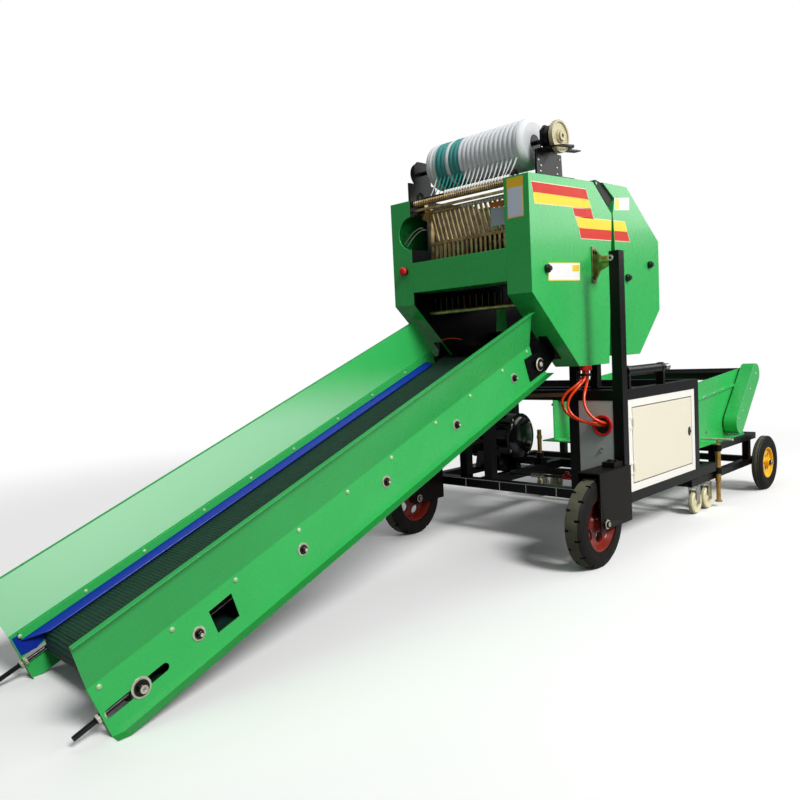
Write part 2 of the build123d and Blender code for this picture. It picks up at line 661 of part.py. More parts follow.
# Screw jack at the trolley
JACK_X = tx1 + 16.0 + SEAT
JACK_Y = 1698.0
jack = rod_z(16, JACK_X, JACK_Y, 150, 372) - rod_z(12 + RUN, JACK_X, JACK_Y, 140, 350)
jack = jack + rod_z(7, JACK_X, JACK_Y, 372, 398)
jack = jack + rod_x(7, JACK_X - 96, JACK_X + 88, JACK_Y, 398)
save("jack", jack)
leg = rod_z(12, JACK_X, JACK_Y, 36, 300) + rod_z(20, JACK_X, JACK_Y, 28, 36)
save("jack_leg", leg)


# Cabinet with its rim, and the door leaf
CY0 = FRAME_Y0 + TUBE + 2
CY1 = FRAME_Y1 - TUBE - 2
CZ0 = BASE_TOP
CZ1 = RAIL_Z


def cabinet_outline(shift):
    return [
        (CAB_X0 + shift, FRAME_Y0 + 2 + shift), (FX0 - 2 - shift, FRAME_Y0 + 2 + shift),
        (FX0 - 2 - shift, CY0 + shift), (CAB_X1 - shift, CY0 + shift),
        (CAB_X1 - shift, CY1 - shift), (CAB_X0 + shift, CY1 - shift),
    ]


GROMMET = (FRAME_HALF - 105, 613.0)
cab = plate_z(cabinet_outline(0), CZ0, CZ1) - plate_z(cabinet_outline(CAB_WALL), CZ0 + CAB_WALL, CZ1 - CAB_WALL)
cab = cab - box(CAB_X1 - 10, CAB_X1 + 10, CY0 + RIM_W, CY1 - RIM_W, CZ0 + RIM_W, CZ1 - RIM_W)
cab = cab - rod_y(40, GROMMET[0], FRAME_Y0 - 10, FRAME_Y0 + 20, GROMMET[1])

LY0 = CY0 + RIM_W + LEAF_GAP
LY1 = CY1 - RIM_W - LEAF_GAP
LZ0 = CZ0 + RIM_W + LEAF_GAP
LZ1 = CZ1 - RIM_W - LEAF_GAP
leaf = box(CAB_X1 - LEAF_T, CAB_X1, LY0, LY1, LZ0, LZ1)
leaf = leaf - box(CAB_X1 - LEAF_T - 1, CAB_X1 - 3, LY0 + 3, LY1 - 3, LZ0 + 3, LZ1 - 3)
for z in (LZ0 + 70, LZ1 - 70):
    leaf = leaf + box(CAB_X1 - 2, CAB_X1 + 4, LY0 - 2, LY0 + 16, z - 16, z + 16)
    leaf = leaf + rod_z(5, DOOR_HINGE_X, LY0 - 4, z - 16, z + 16)
    leaf = leaf - rod_z(3 + RUN, DOOR_HINGE_X, LY0 - 4, z - 30, z + 30)
save("cabinet_door", leaf)
LOCK_Y = LY1 - 30
LOCK_Z = 510.0
lock = rod_x(14, CAB_X1, CAB_X1 + 5, LOCK_Y, LOCK_Z) + rod_x(5, CAB_X1 + 5, CAB_X1 + 9, LOCK_Y, LOCK_Z)
save("door_lock", lock)
for z in (LZ0 + 70, LZ1 - 70):
    eye = rod_z(3, DOOR_HINGE_X, LY0 - 4, z - 30, z + 30)
    for z0, z1 in ((z - 30, z - 17), (z + 17, z + 30)):
        eye = eye + rod_z(5, DOOR_HINGE_X, LY0 - 4, z0, z1)
        eye = eye + box(CAB_X1, CAB_X1 + 3, LY0 - 26, LY0 - 4, z0, z1)
    cab = cab + eye
save("cabinet", cab)

# Motor across the frame, on a plate between the spine and the far beam
MOTOR_X0 = -FX0 + 20
MOTOR_X1 = SPINE_X + TUBE / 2
MOTOR_Y = 800.0
MOTOR_R = 136.0
MOTOR_Z = BASE_TOP + 8 + MOTOR_R + 44
MOTOR_FINS = 18


def motor():
    y, z = MOTOR_Y, MOTOR_Z
    plate = box(-FX0, MOTOR_X1, y - 112, y + 112, BASE_TOP, BASE_TOP + 8)
    cowl = rod_x(MOTOR_R, MOTOR_X1 - 66, MOTOR_X1, y, z) - rod_x(MOTOR_R - 26, MOTOR_X1 - 6, MOTOR_X1 + 1, y, z)
    cowl = cowl + rod_x(38, MOTOR_X1 - 7, MOTOR_X1, y, z)
    body = rod_x(MOTOR_R - 16, MOTOR_X0 + 20, MOTOR_X1 - 60, y, z)
    flange = rod_x(MOTOR_R - 4, MOTOR_X0, MOTOR_X0 + 24, y, z)
    pieces = [plate, body, cowl, flange, rod_x(19, MOTOR_X0 - 14, MOTOR_X0, y, z)]
    for i in range(MOTOR_FINS):
        fin = box(MOTOR_X0 + 22, MOTOR_X1 - 64, -2.5, 2.5, MOTOR_R - 20, MOTOR_R - 4)
        pieces.append(Pos(0, y, z) * (Rot(360 / MOTOR_FINS * i, 0, 0) * fin))
    for k in (-1, 1):
        foot = plate_x([(y + k * 70, BASE_TOP + 8), (y + k * 112, BASE_TOP + 8), (y + k * 112, BASE_TOP + 22),
                        (y + k * 84, z - 76), (y + k * 60, z - 96)], MOTOR_X0 + 60, MOTOR_X1 - 80)
        pieces.append(foot)
    pieces.append(box(MOTOR_X0 + 90, MOTOR_X1 - 100, y - 60, y + 60, z + MOTOR_R - 30, z + MOTOR_R + 50))
    return fused(pieces)


save("motor", motor())

# Air cylinder on the near upper rail, with its rod
CYL_X = FRAME_HALF - 30
CYL_Z = 862.0
CYL_Y0 = 500.0
CYL_Y1 = 900.0
CYL_R = 27.0
barrel = rod_y(CYL_R - 3, CYL_X, CYL_Y0 + 30, CYL_Y1 - 30, CYL_Z)
barrel = barrel + rod_y(CYL_R, CYL_X, CYL_Y0, CYL_Y0 + 34, CYL_Z) + rod_y(CYL_R, CYL_X, CYL_Y1 - 34, CYL_Y1, CYL_Z)
barrel = barrel - rod_y(10 + RUN, CYL_X, CYL_Y1 - 120, CYL_Y1 + 5, CYL_Z)
for y in (CYL_Y0 + 6, CYL_Y1 - 28):
    barrel = barrel + box(CYL_X - 20, CYL_X + 20, y, y + 20, TOP_Z, CYL_Z - 15)
save("air_cylinder", barrel)
piston = rod_y(10, CYL_X, CYL_Y1 - 110, CYL_Y1 + 40, CYL_Z) + rod_y(17, CYL_X, CYL_Y1 + 20, CYL_Y1 + 70, CYL_Z)
save("air_cylinder_rod", piston)


# Net stand: bolted uprights with bearings, and a shelf with a round eye
STAND_Y0 = 111.0
STAND_Y1 = 324.0
SHELF_Z = 1872.0
SHELF_TILT = 6.0
SHELF_L = 336.0
BEARING_R = 58.0
BEARING_T = 24.0
DISC_X = STAND_X + STAND_T / 2 + BEARING_T + 16
DISC_T = 20.0


def stand(side):
    x0, x1 = STAND_X - STAND_T / 2, STAND_X + STAND_T / 2
    ground = [(y, housing_top(y)) for y in (STAND_Y0, STAND_Y1)]
    head = [(NET_Y + 64, SHELF_Z), (NET_Y + 64, NET_Z + 30), (NET_Y + 34, NET_Z + 58),
            (NET_Y - 34, NET_Z + 58), (NET_Y - 64, NET_Z + 30), (NET_Y - 64, SHELF_Z)]
    up = plate_x(ground + [(STAND_Y1 - 6, SHELF_Z)] + head + [(STAND_Y0, SHELF_Z)], x0, x1)
    toe = [(y, housing_top(y)) for y in (STAND_Y0 - 6, STAND_Y1 + 84)]
    up = up + plate_x(toe + [(y, z + 6) for y, z in reversed(toe)], x0 - 22, x1 + 14)
    up = up + rod_x(BEARING_R, x1, x1 + BEARING_T, NET_Y, NET_Z)
    if side > 0:
        outline = [(x0, 0), (x1 + 20, 0), (x1 + 70, 26), (x1 + 96, 66), (x1 + 96, 150),
                   (x1 + 70, 192), (x1 + 30, 216), (x1 + 24, SHELF_L), (x0, SHELF_L)]
        shelf = plate_z(outline, 0, 6) - rod_z(10, x1 + 80, 108, -1, 7)
        up = up + Pos(0, STAND_Y0 + 10, SHELF_Z - 2) * (Rot(SHELF_TILT, 0, 0) * shelf)
        up = up - rod_x(HAND_DISC_R + MOVE, DISC_X - MOVE, DISC_X + DISC_T + MOVE, NET_Y, NET_Z)
    up = up - rod_x(SPINDLE_R + RUN, x0 - 1, x1 + BEARING_T + 2, NET_Y, NET_Z)
    return up if side > 0 else mirror_x(up)


save("net_stand", stand(1), stand(-1))
spindle = rod_x(SPINDLE_R, -STAND_X - 34, DISC_X, NET_Y, NET_Z)
spindle = spindle + rod_x(NET_BORE - SEAT, NET_X0, NET_X1, NET_Y, NET_Z)
face = DISC_X + DISC_T
disc = rod_x(HAND_DISC_R, DISC_X, face, NET_Y, NET_Z) + rod_x(22, face, face + 10, NET_Y, NET_Z)
disc = disc - ring_x(HAND_DISC_R - 10, 30, face - 6, face + 1, NET_Y, NET_Z)
spindle = spindle + disc - rod_x(9, DISC_X + 8, face + 11, NET_Y, NET_Z)
save("net_spindle", spindle)
roll = ring_x(NET_R, NET_BORE, NET_X0, NET_X1, NET_Y, NET_Z)
save("net_roll", roll)


# Feed conveyor side panels: web, flared upper part, lips, end flange, window and slot
def side_panel():
    x = PANEL_X
    inside = x - PANEL_T
    web = [(0, LOW_T + 12), (34, LOW_T), (CONV_L, LOW_T), (CONV_HEAD, 80), (CONV_HEAD, BEND_T), (0, BEND_T)]
    lower = plate_x(web, inside, x)
    run = CONV_HEAD
    upper = extrude(
        Plane.XZ * Polygon((inside, BEND_T), (x, BEND_T), (x + FLARE, TOP_T), (x + FLARE - PANEL_T, TOP_T), align=None),
        amount=run, dir=(0, 1, 0))
    top_lip = box(x + FLARE - PANEL_T, x + FLARE + LIP_TOP, 0, run, TOP_T - PANEL_T, TOP_T)
    low_lip = box(inside, x + LIP_LOW, 34, CONV_L, LOW_T, LOW_T + PANEL_T)
    flange = box(inside - 20, inside, 0, PANEL_T, LOW_T + 14, BEND_T - 8)
    panel = lower + upper + top_lip + low_lip + flange
    window = plate_x([(397, 114), (487, 116), (482, 32), (396, 34)], x - 10, x + 10)
    slot = extrude(Plane.YZ.offset(x - 10) * (Pos(TAIL_S - 10, DRUM_T) * SlotOverall(214, 2 * DRUM_SHAFT_R + 4)), amount=20)
    panel = panel - window - slot
    panel = panel - rod_y(TENSION_ROD_R + SEAT, TENSION_X, -5, PANEL_T + 5, DRUM_T)
    for s in ROLLER_S:
        panel = panel - rod_x(9 + SEAT, x - 10, x + 10, s, 77)
    panel = panel - rod_x(DRUM_SHAFT_R + 1, x - 10, x + 10, HEAD_S, DRUM_T)
    return panel


TENSION_X = PANEL_X - PANEL_T - 11
panel = side_panel()
strip = box(PANEL_X - PANEL_T - 2 * STRIP_T, PANEL_X - PANEL_T - STRIP_T, 30, HEAD_S - 85, BEND_T - 30, BEND_T - 3)
save("conveyor_sides", slope(panel), slope(mirror_x(panel)), slope(strip), slope(mirror_x(strip)))


# Belt with cross ribs
def belt():
    length = HEAD_S - TAIL_S
    mid = (HEAD_S + TAIL_S) / 2
    outer = SlotCenterToCenter(length, 2 * (DRUM_R + BELT_T))
    inner = SlotCenterToCenter(length, 2 * (DRUM_R + SEAT))
    loop = extrude(Plane.YZ * (Pos(mid, DRUM_T) * (outer - inner)), amount=BELT_HALF, both=True)
    top_t = DRUM_T + DRUM_R + BELT_T
    pitch = length / RIB_COUNT
    ribs = []
    for i in range(RIB_COUNT):
        s = TAIL_S + pitch * (i + 0.5)
        ribs.append(box(-BELT_HALF, BELT_HALF, s - 6, s + 6, top_t - 1, top_t + RIB_H))
    return fused([loop] + ribs)


save("conveyor_belt", slope(belt()))

# Drums, support rollers and the slider bed under the belt
def drum(s):
    body = rod_x(DRUM_R, -BELT_HALF - DRUM_OVER, BELT_HALF + DRUM_OVER, s, DRUM_T)
    return body + rod_x(DRUM_SHAFT_R, -PANEL_X - 20, PANEL_X + 20, s, DRUM_T)


save("conveyor_drums", slope(drum(TAIL_S)), slope(drum(HEAD_S)))
bed = []
inside = PANEL_X - PANEL_T
bed.append(box(-inside, inside, TAIL_S + 90, HEAD_S - 90, DRUM_T + DRUM_R - 5, DRUM_T + DRUM_R - 1.5))
for s in ROLLER_S:
    bed.append(rod_x(9, -PANEL_X - 10, PANEL_X + 10, s, 77))
    bed.append(rod_x(15, -PANEL_X - 8, -PANEL_X, s, 77))
    bed.append(rod_x(15, PANEL_X, PANEL_X + 8, s, 77))
    bed.append(box(-BELT_HALF, BELT_HALF, s - 12, s + 12, 84, DRUM_T + DRUM_R - 4))
save("conveyor_bed", slope(fused(bed)))

# Rubber skirts: clamped under the strips, leaning down onto the belt's edges
def belt_skirt():
    x = PANEL_X - PANEL_T
    low = DRUM_T + DRUM_R + BELT_T + RIB_H + 1.5
    tip = BELT_HALF - 13
    s0, s1 = 30.0, HEAD_S - 85
    face = Polygon((x, BEND_T - 8), (x - STRIP_T, BEND_T - 8), (x - STRIP_T, BEND_T - 31), (tip, low + STRIP_T),
                   (tip, low), (x, low + 16), align=None)
    sheet = extrude(Plane.XZ.offset(-s0) * face, amount=s1 - s0, dir=(0, 1, 0))
    taper = plate_z([(tip - 5, s0 - 5), (x - STRIP_T - 2, s0 - 5), (tip - 5, s0 + 90)], low - 5, BEND_T - 28)
    return sheet - taper


skirt = belt_skirt()
save("belt_skirts", slope(skirt), slope(mirror_x(skirt)))


# Belt tensioners: bearing block inside the panel, washer and nut outside, rod through the end flange
def tensioner():
    x = PANEL_X
    inside = x - PANEL_T
    block = box(BELT_HALF + DRUM_OVER + 2, inside, TAIL_S - 34, TAIL_S + 34, DRUM_T - 24, DRUM_T + 24)
    block = block - rod_x(DRUM_SHAFT_R + RUN, x - 60, x, TAIL_S, DRUM_T)
    rod = rod_y(TENSION_ROD_R, TENSION_X, -TENSION_OUT, TAIL_S - 30, DRUM_T)
    nuts = rod_y(11, TENSION_X, -14, 0, DRUM_T) + rod_y(11, TENSION_X, PANEL_T, PANEL_T + 12, DRUM_T)
    washer = rod_x(22, x, x + 4, TAIL_S, DRUM_T)
    hexagon = extrude(Plane.YZ.offset(x + 4) * (Pos(TAIL_S, DRUM_T) * RegularPolygon(17, 6)), amount=11)
    end = washer + hexagon - rod_x(DRUM_SHAFT_R + RUN, x - 1, x + 16, TAIL_S, DRUM_T)
    return [block + rod + nuts, end]


pieces = [slope(piece) for piece in tensioner()]
save("belt_tensioners", *pieces, *[mirror_x(piece) for piece in pieces])


# Head brackets that hang the conveyor on the chamber
def head_bracket():
    x = PANEL_X
    plate = plate_x([(HEAD_S - 80, 10), (HEAD_S + 70, 6), (HEAD_S + 60, 110), (HEAD_S - 80, 120)], x, x + 8)
    plate = slope(plate + rod_x(32, x + 8, x + 20, HEAD_S, DRUM_T))
    hang = [(y, housing_slope(y)) for y in (HANG_Y0, HANG_Y1)]
    y, z = at_slope(HEAD_S, DRUM_T)
    web = plate_x(hang + [(y + 70, z - 34), (y - 10, z - 30), (y + 12, z + 50)], x, x + 8)
    fold = plate_x(hang + [(HANG_Y1 - 4, hang[1][1] - 5), (HANG_Y0 - 4, hang[0][1] - 5)], x, x + 44)
    return plate + web + fold - slope(rod_x(DRUM_SHAFT_R + RUN, x - 1, x + 30, HEAD_S, DRUM_T))


hb = head_bracket()
save("head_brackets", hb, mirror_x(hb))

# Hose bundle between the chamber and the cabinet
HOSE_D = 14.0
ROUTES = {
    "hose_a": [(385, 455, 872.7), (385, 455, 836), (372, 398, 800), (332, 372, 768), (312, 362, 722), (340, 366, 668), (400, 380, 636), (466, 404, 622), (476, 440, 618)],
    "hose_b": [(403, 446, 872.7), (403, 446, 836), (392, 385, 796), (362, 356, 752), (352, 348, 700), (384, 356, 654), (440, 376, 628), (486, 402, 616), (497, 440, 612)],
    "hose_c": [(400, 468, 872.7), (400, 468, 834), (420, 408, 790), (424, 378, 744), (440, 366, 692), (474, 374, 650), (508, 402, 626), (516, 440, 622)],
}


def cord_radii(points):
    radii = []
    for a, b, c in zip(points, points[1:], points[2:]):
        u = Vector(*b) - Vector(*a)
        v = Vector(*c) - Vector(*b)
        half_turn = math.radians(u.get_angle(v)) / 2
        radii.append(0.45 * min(u.length, v.length) / math.tan(half_turn))
    return radii


def hose(points):
    path = FilletPolyline(*points, radius=cord_radii(points))
    start = Plane(origin=points[0], z_dir=Vector(*points[1]) - Vector(*points[0]))
    return sweep(start * Circle(HOSE_D / 2), path=path)


for name, points in ROUTES.items():
    print(name, "radii", [round(r) for r in cord_radii(points)])
    tube = hose(points)
    print(name, "volume", round(tube.volume), "length", round(tube.volume / (math.pi * HOSE_D ** 2 / 4)))
    save(name, tube)

# Hose outlet under the housing and the ring in the cabinet wall
outlet = rod_z(30, 395, 456, 873, 896)
ring = rod_y(50, GROMMET[0], FRAME_Y0 - 8, FRAME_Y0 + 2, GROMMET[1]) - rod_y(38, GROMMET[0], FRAME_Y0 - 10, FRAME_Y0 + 10, GROMMET[1])
save("hose_rings", outlet, ring)
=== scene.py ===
"""Dressed model of a small round baler with its feed belt and wrapping table.

Metres, in the frame of the solids: +X to the cabinet side, +Y to the rear, +Z up.
"""
import functools
import json
import math
from types import SimpleNamespace

import bmesh
import bpy
import numpy as np
from bpy.props import FloatProperty, FloatVectorProperty, IntProperty, PointerProperty, StringProperty
from mathutils import Matrix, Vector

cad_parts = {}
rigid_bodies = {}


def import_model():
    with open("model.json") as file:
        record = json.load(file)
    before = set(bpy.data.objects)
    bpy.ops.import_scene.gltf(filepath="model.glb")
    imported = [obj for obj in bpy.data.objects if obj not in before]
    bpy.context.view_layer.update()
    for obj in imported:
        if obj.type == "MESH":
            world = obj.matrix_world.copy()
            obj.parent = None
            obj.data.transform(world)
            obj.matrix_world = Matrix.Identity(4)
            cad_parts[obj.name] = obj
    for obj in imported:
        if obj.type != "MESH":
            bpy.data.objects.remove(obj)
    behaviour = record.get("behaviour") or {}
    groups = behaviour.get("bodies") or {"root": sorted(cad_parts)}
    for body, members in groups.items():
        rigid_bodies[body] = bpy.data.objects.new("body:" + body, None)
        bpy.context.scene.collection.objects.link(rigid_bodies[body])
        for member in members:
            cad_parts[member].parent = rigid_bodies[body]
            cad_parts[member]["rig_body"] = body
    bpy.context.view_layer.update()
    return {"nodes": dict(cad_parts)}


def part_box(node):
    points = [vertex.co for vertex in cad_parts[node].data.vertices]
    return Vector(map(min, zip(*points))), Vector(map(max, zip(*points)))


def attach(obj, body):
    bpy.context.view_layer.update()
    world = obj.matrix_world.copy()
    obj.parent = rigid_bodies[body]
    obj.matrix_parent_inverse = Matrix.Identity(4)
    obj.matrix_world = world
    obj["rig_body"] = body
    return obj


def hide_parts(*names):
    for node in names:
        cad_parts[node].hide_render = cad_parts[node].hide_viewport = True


bl_info = {
    "name": "Round Baler",
    "version": (1, 0, 0),
    "blender": (4, 5, 0),
    "location": "View3D > Sidebar > Baler",
    "description": "Builds the finishes and the detailed pieces of a small round baler",
    "category": "Object",
}

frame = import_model()
NODES = frame["nodes"]

# Directions: out on the cabinet side, to the front, and up
OUT, FORE, UP = np.array([(1.0, 0, 0), (0, -1.0, 0), (0, 0, 1.0)])

# Planes of the chamber and the frame. A y that goes to at() or onto a film is counted from FRONT.
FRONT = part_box("housing_near")[0].y          # front flanges of the chamber
PLATE = -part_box("housing_far")[0].x          # outer plates of the chamber
POST_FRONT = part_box("side_posts")[0].y       # front faces of the tall posts
POST_PIN = (0.560, POST_FRONT, 1.388)        # pin that ties a bracket to its post
BEAM_Y, BEAM_LOW, BEAM_TOP = 0.420, 0.245, 0.295    # front lower beam: y, lower and upper edge
MOTOR = (-0.225, FRONT + 0.800, 0.483)       # middle of the motor's end face
SPLIT_FRONT = ((0.735, 1.640), (0.668, 0.896))      # rear edge of the fixed plates, two points y, z
SPLIT_REAR = ((0.745, 1.640), (0.805, 0.931))       # front edge of the tailgate plates
EDGE_GAP = 0.003                             # stripes end this far from those edges

# Feed belt, s up its slope and t square to it from the lower tail corner of its side panels
PANEL_LENGTH, PANEL_RISE = 2.317, 0.84918
SLOPE = math.asin(PANEL_RISE / PANEL_LENGTH)
COS, SIN = math.cos(SLOPE), math.sin(SLOPE)
UPHILL = np.array([0.0, COS, SIN])
TAIL_Y, TAIL_Z = FRONT + 0.1918 - PANEL_LENGTH * COS, 0.008
PANEL = 0.297                                # outer face of a side panel's web
DRUM_T, DRUM_R = 0.059, 0.042
TAIL_S, HEAD_S = 0.125, 2.330
BELT_HALF, BELT_THICK = 0.262, 0.005
TENSION_X = (0.014 - PANEL, PANEL - 0.014)
ROLLER_T = 0.077
ROLLER_S = [PANEL_LENGTH * share for share in (0.147, 0.339, 0.531, 0.729, 0.924)]
BOLT_T = 0.1435
BOLT_S = (0.030, 0.274, 0.518, 0.798, 1.044, 1.293, 1.576, 1.821, 2.075, 2.285)

# Net: axis of the roll, outer face of its uprights, hub of the hand disc, rods of the feeder
NET_Y, NET_Z = FRONT + 0.220, 1.930
NET_RADIUS, NET_BORE = 0.1148, 0.0385
STAND_FACE, DISC_FACE = 0.385, 0.445
SHELF_TILT = math.radians(6)
GUIDE = (0.034, 1.736)
SPREADER = (0.070, 1.763)
BEADS = (0.084, 1.690)

# Axles of the wheels, y and z
FRONT_AXLE = (0.205, 0.200)
REAR_AXLE = (2.360, 0.172)

# Stripes on the outer plates, corners in y and z
STRIPES = (
    ("red", [(0.021, 1.714), (0.486, 1.732), (0.507, 1.687), (0.034, 1.671)]),
    ("yellow", [(0.034, 1.671), (0.507, 1.687), (0.531, 1.647), (0.043, 1.625)]),
    ("red", [(0.361, 1.633), (0.530, 1.643), (0.550, 1.601), (0.378, 1.599)]),
    ("yellow", [(0.384, 1.593), (0.869, 1.611), (0.895, 1.562), (0.412, 1.546)]),
    ("red", [(0.412, 1.546), (0.895, 1.560), (0.920, 1.515), (0.427, 1.499)]),
)

# Routes of the hoses in millimetres, y from the chamber's front, with their lengths in metres
HOSES = {
    "hose_a": (0.440, [
        (385, 455, 872.7), (385, 455, 836), (372, 398, 800), (332, 372, 768), (312, 362, 722),
        (340, 366, 668), (400, 380, 636), (466, 404, 622), (476, 440, 618)]),
    "hose_b": (0.429, [
        (403, 446, 872.7), (403, 446, 836), (392, 385, 796), (362, 356, 752), (352, 348, 700),
        (384, 356, 654), (440, 376, 628), (486, 402, 616), (497, 440, 612)]),
    "hose_c": (0.362, [
        (400, 468, 872.7), (400, 468, 834), (420, 408, 790), (424, 378, 744), (440, 366, 692),
        (474, 374, 650), (508, 402, 626), (516, 440, 622)]),
}
HOSE_RADIUS = 0.007

# Solids by the finish that they get
SOLIDS = {
    "green": "housing_near housing_far tailgate_sides front_cover conveyor_sides chain_case wrap_table",
    "black": "frame_base frame_top side_posts trolley_frame net_stand head_brackets infeed_throat "
             "table_roller_front table_roller_rear air_cylinder",
    "gloss_black": "motor",
    "box_black": "wheel_boxes hinge_arms",
    "zinc": "net_feeder infeed_comb",
    "olive": "post_brackets",
    "cream": "cabinet_door",
    # The cabinet is white: its pale grey is painted shade on the walls away from the door
    "grey": "cabinet",
    "gold": "jack jack_leg",
    "black_plastic": "bearing_caps tailgate_caps door_lock",
    "blue": "belt_skirts",
    "dark_steel": "press_rollers tailgate_rollers belt_tensioners conveyor_bed",
    "tin": "air_cylinder_rod conveyor_drums",
    "beige": "net_spindle",
    "red": "hose_rings",
    "red_rim": "front_rim_near front_rim_far",
    "yellow_rim": "rear_rim_near rear_rim_far",
}

# Folded and flat sheet, whose bends stay crisp at SHEET_ANGLE; other pieces are smooth up to SMOOTH_ANGLE
SHEETS = SOLIDS["green"].split() + ["belt_skirts", "cabinet", "cabinet_door"]
SHEET_ANGLE, SMOOTH_ANGLE = 6.0, 35.0


# Surfaces
class Surf:
    """Points, and faces as one run of corner numbers with the corner count of each face."""

    def __init__(self, points, corners, counts):
        self.points = np.asarray(points, float).reshape(-1, 3)
        self.corners = np.asarray(corners, int).ravel()
        self.counts = np.asarray(counts, int).ravel()

    def __add__(self, other):
        return total([self, other])

    def turned(self, turn, place=(0, 0, 0)):
        """The same faces with every point p moved to place + turn p."""
        return Surf(self.points @ np.asarray(turn).T + np.asarray(place), self.corners, self.counts)

    def aimed(self, place, axis=OUT, side=UP):
        """A shape made along z, set at a place and pointing along axis."""
        return self.turned(basis(axis, side), place)

    def moved(self, place):
        return self.turned(np.eye(3), place)

    def mirrored(self):
        """Mirror image in x."""
        return self.turned(np.diag([-1.0, 1.0, 1.0]))

    def paired(self):
        """The shape and its mirror image."""
        return self + self.mirrored()


def total(surfs):
    """All the surfaces as one."""
    surfs = list(surfs)
    shifts = np.cumsum([0] + [len(s.points) for s in surfs[:-1]])
    return Surf(
        np.vstack([s.points for s in surfs]),
        np.concatenate([s.corners + shift for s, shift in zip(surfs, shifts)]),
        np.concatenate([s.counts for s in surfs]),
    )


def grid(points, ring_u=False):
    """Quads between the neighbours of a grid P[u, v]. v closes on itself. With ring_u, u does too,
    and otherwise one face closes each end row."""
    points = np.asarray(points, float)
    nu, nv = points.shape[:2]
    u, v = np.meshgrid(np.arange(nu if ring_u else nu - 1), np.arange(nv), indexing="ij")
    u1, v1 = (u + 1) % nu, (v + 1) % nv
    quads = np.stack([u * nv + v, u1 * nv + v, u1 * nv + v1, u * nv + v1], -1).reshape(-1, 4)
    corners, counts = [quads.ravel()], [np.full(len(quads), 4)]
    if not ring_u:
        corners += [np.arange(nv)[::-1], (nu - 1) * nv + np.arange(nv)]
        counts += [[nv], [nv]]
    return Surf(points, np.concatenate(corners), np.concatenate(counts))


def basis(axis, side=UP):
    """Columns: two cross directions and the axis itself, for shapes made along local z."""
    axis = np.asarray(axis, float) / np.linalg.norm(axis)
    if abs(axis @ side) > 0.95 * np.linalg.norm(side):
        side = -FORE
    first = side - axis * (axis @ side)
    first /= np.linalg.norm(first)
    return np.stack([first, np.cross(axis, first), axis], 1)


def rect(x0, x1, y0, y1):
    """Corners of a rectangle, in turn."""
    return [(x0, y0), (x1, y0), (x1, y1), (x0, y1)]


def circle(radius, sides):
    a = np.arange(sides) * 2 * np.pi / sides
    return np.stack([radius * np.cos(a), radius * np.sin(a)], 1)


def lathe(profile, sides=32, ring_u=False):
    """Profile (r, h) turned about z: P = (r cos a, r sin a, h), a in equal steps."""
    profile = np.asarray(profile, float)
    turn = circle(1.0, sides)
    heights = np.broadcast_to(profile[:, None, 1:], (len(profile), sides, 1))
    points = np.concatenate([profile[:, None, :1] * turn[None], heights], -1)
    return grid(points, ring_u)


def ring(inner, outer, low, high, sides):
    """Flat ring about z between two radii and two heights."""
    return lathe(rect(inner, outer, low, high), sides, True)


def disc(radius, low, high, sides):
    return lathe([(radius, low), (radius, high)], sides)


def dome(radius, height, steps):
    """Profile of a low dome without its top point: a quarter of an ellipse, (radius cos a, height sin a)."""
    a = np.linspace(0, np.pi / 2, steps)[:-1]
    return np.stack([radius * np.cos(a), height * np.sin(a)], 1)


def prism(outline, depth):
    """Outline in x, y carried straight along z from 0 to depth."""
    outline = np.asarray(outline, float)
    return grid([np.pad(outline, ((0, 0), (0, 1)), constant_values=z) for z in (0.0, depth)])


def sweep(path, profile):
    """Closed profile (a, b) carried along a path: P = path + a across + b lift, where across is level
    and lift is square to both."""
    along = np.gradient(path, axis=0)
    along /= np.linalg.norm(along, axis=1, keepdims=True)
    across = np.cross(along, UP)
    across /= np.linalg.norm(across, axis=1, keepdims=True)
    lift = np.cross(across, along)
    return grid(path[:, None] + profile[None, :, :1] * across[:, None] + profile[None, :, 1:] * lift[:, None])


def rod(start, end, radius, sides=16):
    """Round bar from start to end."""
    way = np.subtract(end, start)
    return disc(radius, 0, np.linalg.norm(way), sides).aimed(start, way)


def block(low, high):
    return prism(rect(low[0], high[0], low[1], high[1]), high[2] - low[2]).moved((0, 0, low[2]))


def repeated(surf, places, axis=OUT, side=UP):
    """One copy of a shape made along z at each place, pointing along axis."""
    return total(surf.aimed(place, axis, side) for place in places)


def hex_bolt(size):
    """Hexagon head on a washer, both turned from short profiles; size is the thread's."""
    across, washer = size * 0.95, size * 0.16
    head = [(across, washer), (across, washer + size * 0.56), (across * 0.82, washer + size * 0.66)]
    return lathe(head, 6) + lathe([(size * 1.25, 0), (size * 1.25, washer * 0.8), (size * 1.15, washer)], 24)


def hex_nut(size, stem):
    """Hexagon nut with the end of its stud."""
    across = size * 0.95
    nut = lathe([(across, 0), (across, size * 0.56), (across * 0.82, size * 0.66)], 6)
    return nut + disc(size * 0.5, 0, size * 0.66 + stem, 12)


def dome_bolt(size):
    """Low round head, half an ellipse turned about its axis."""
    return lathe(np.vstack([[(size, -0.001)], dome(size, size * 0.55, 6)]), 16)


def at(x, y, z):
    """A point given from the chamber's front face."""
    return (x, FRONT + y, z)


def around(centre, radius, angles):
    """Places on a circle square to x."""
    x, y, z = centre
    return [(x, y + radius * math.cos(a), z + radius * math.sin(a)) for a in angles]


def slope_point(x, s, t):
    """Belt's own axes to the machine's: s up the slope, t square to it."""
    s, t = np.asarray(s), np.asarray(t)
    return np.stack(np.broadcast_arrays(x, TAIL_Y + s * COS - t * SIN, TAIL_Z + s * SIN + t * COS), -1)


def slope_height(points):
    """Height above the belt's own lower line, square to the slope."""
    return (points[:, 2] - TAIL_Z) * COS - (points[:, 1] - TAIL_Y) * SIN


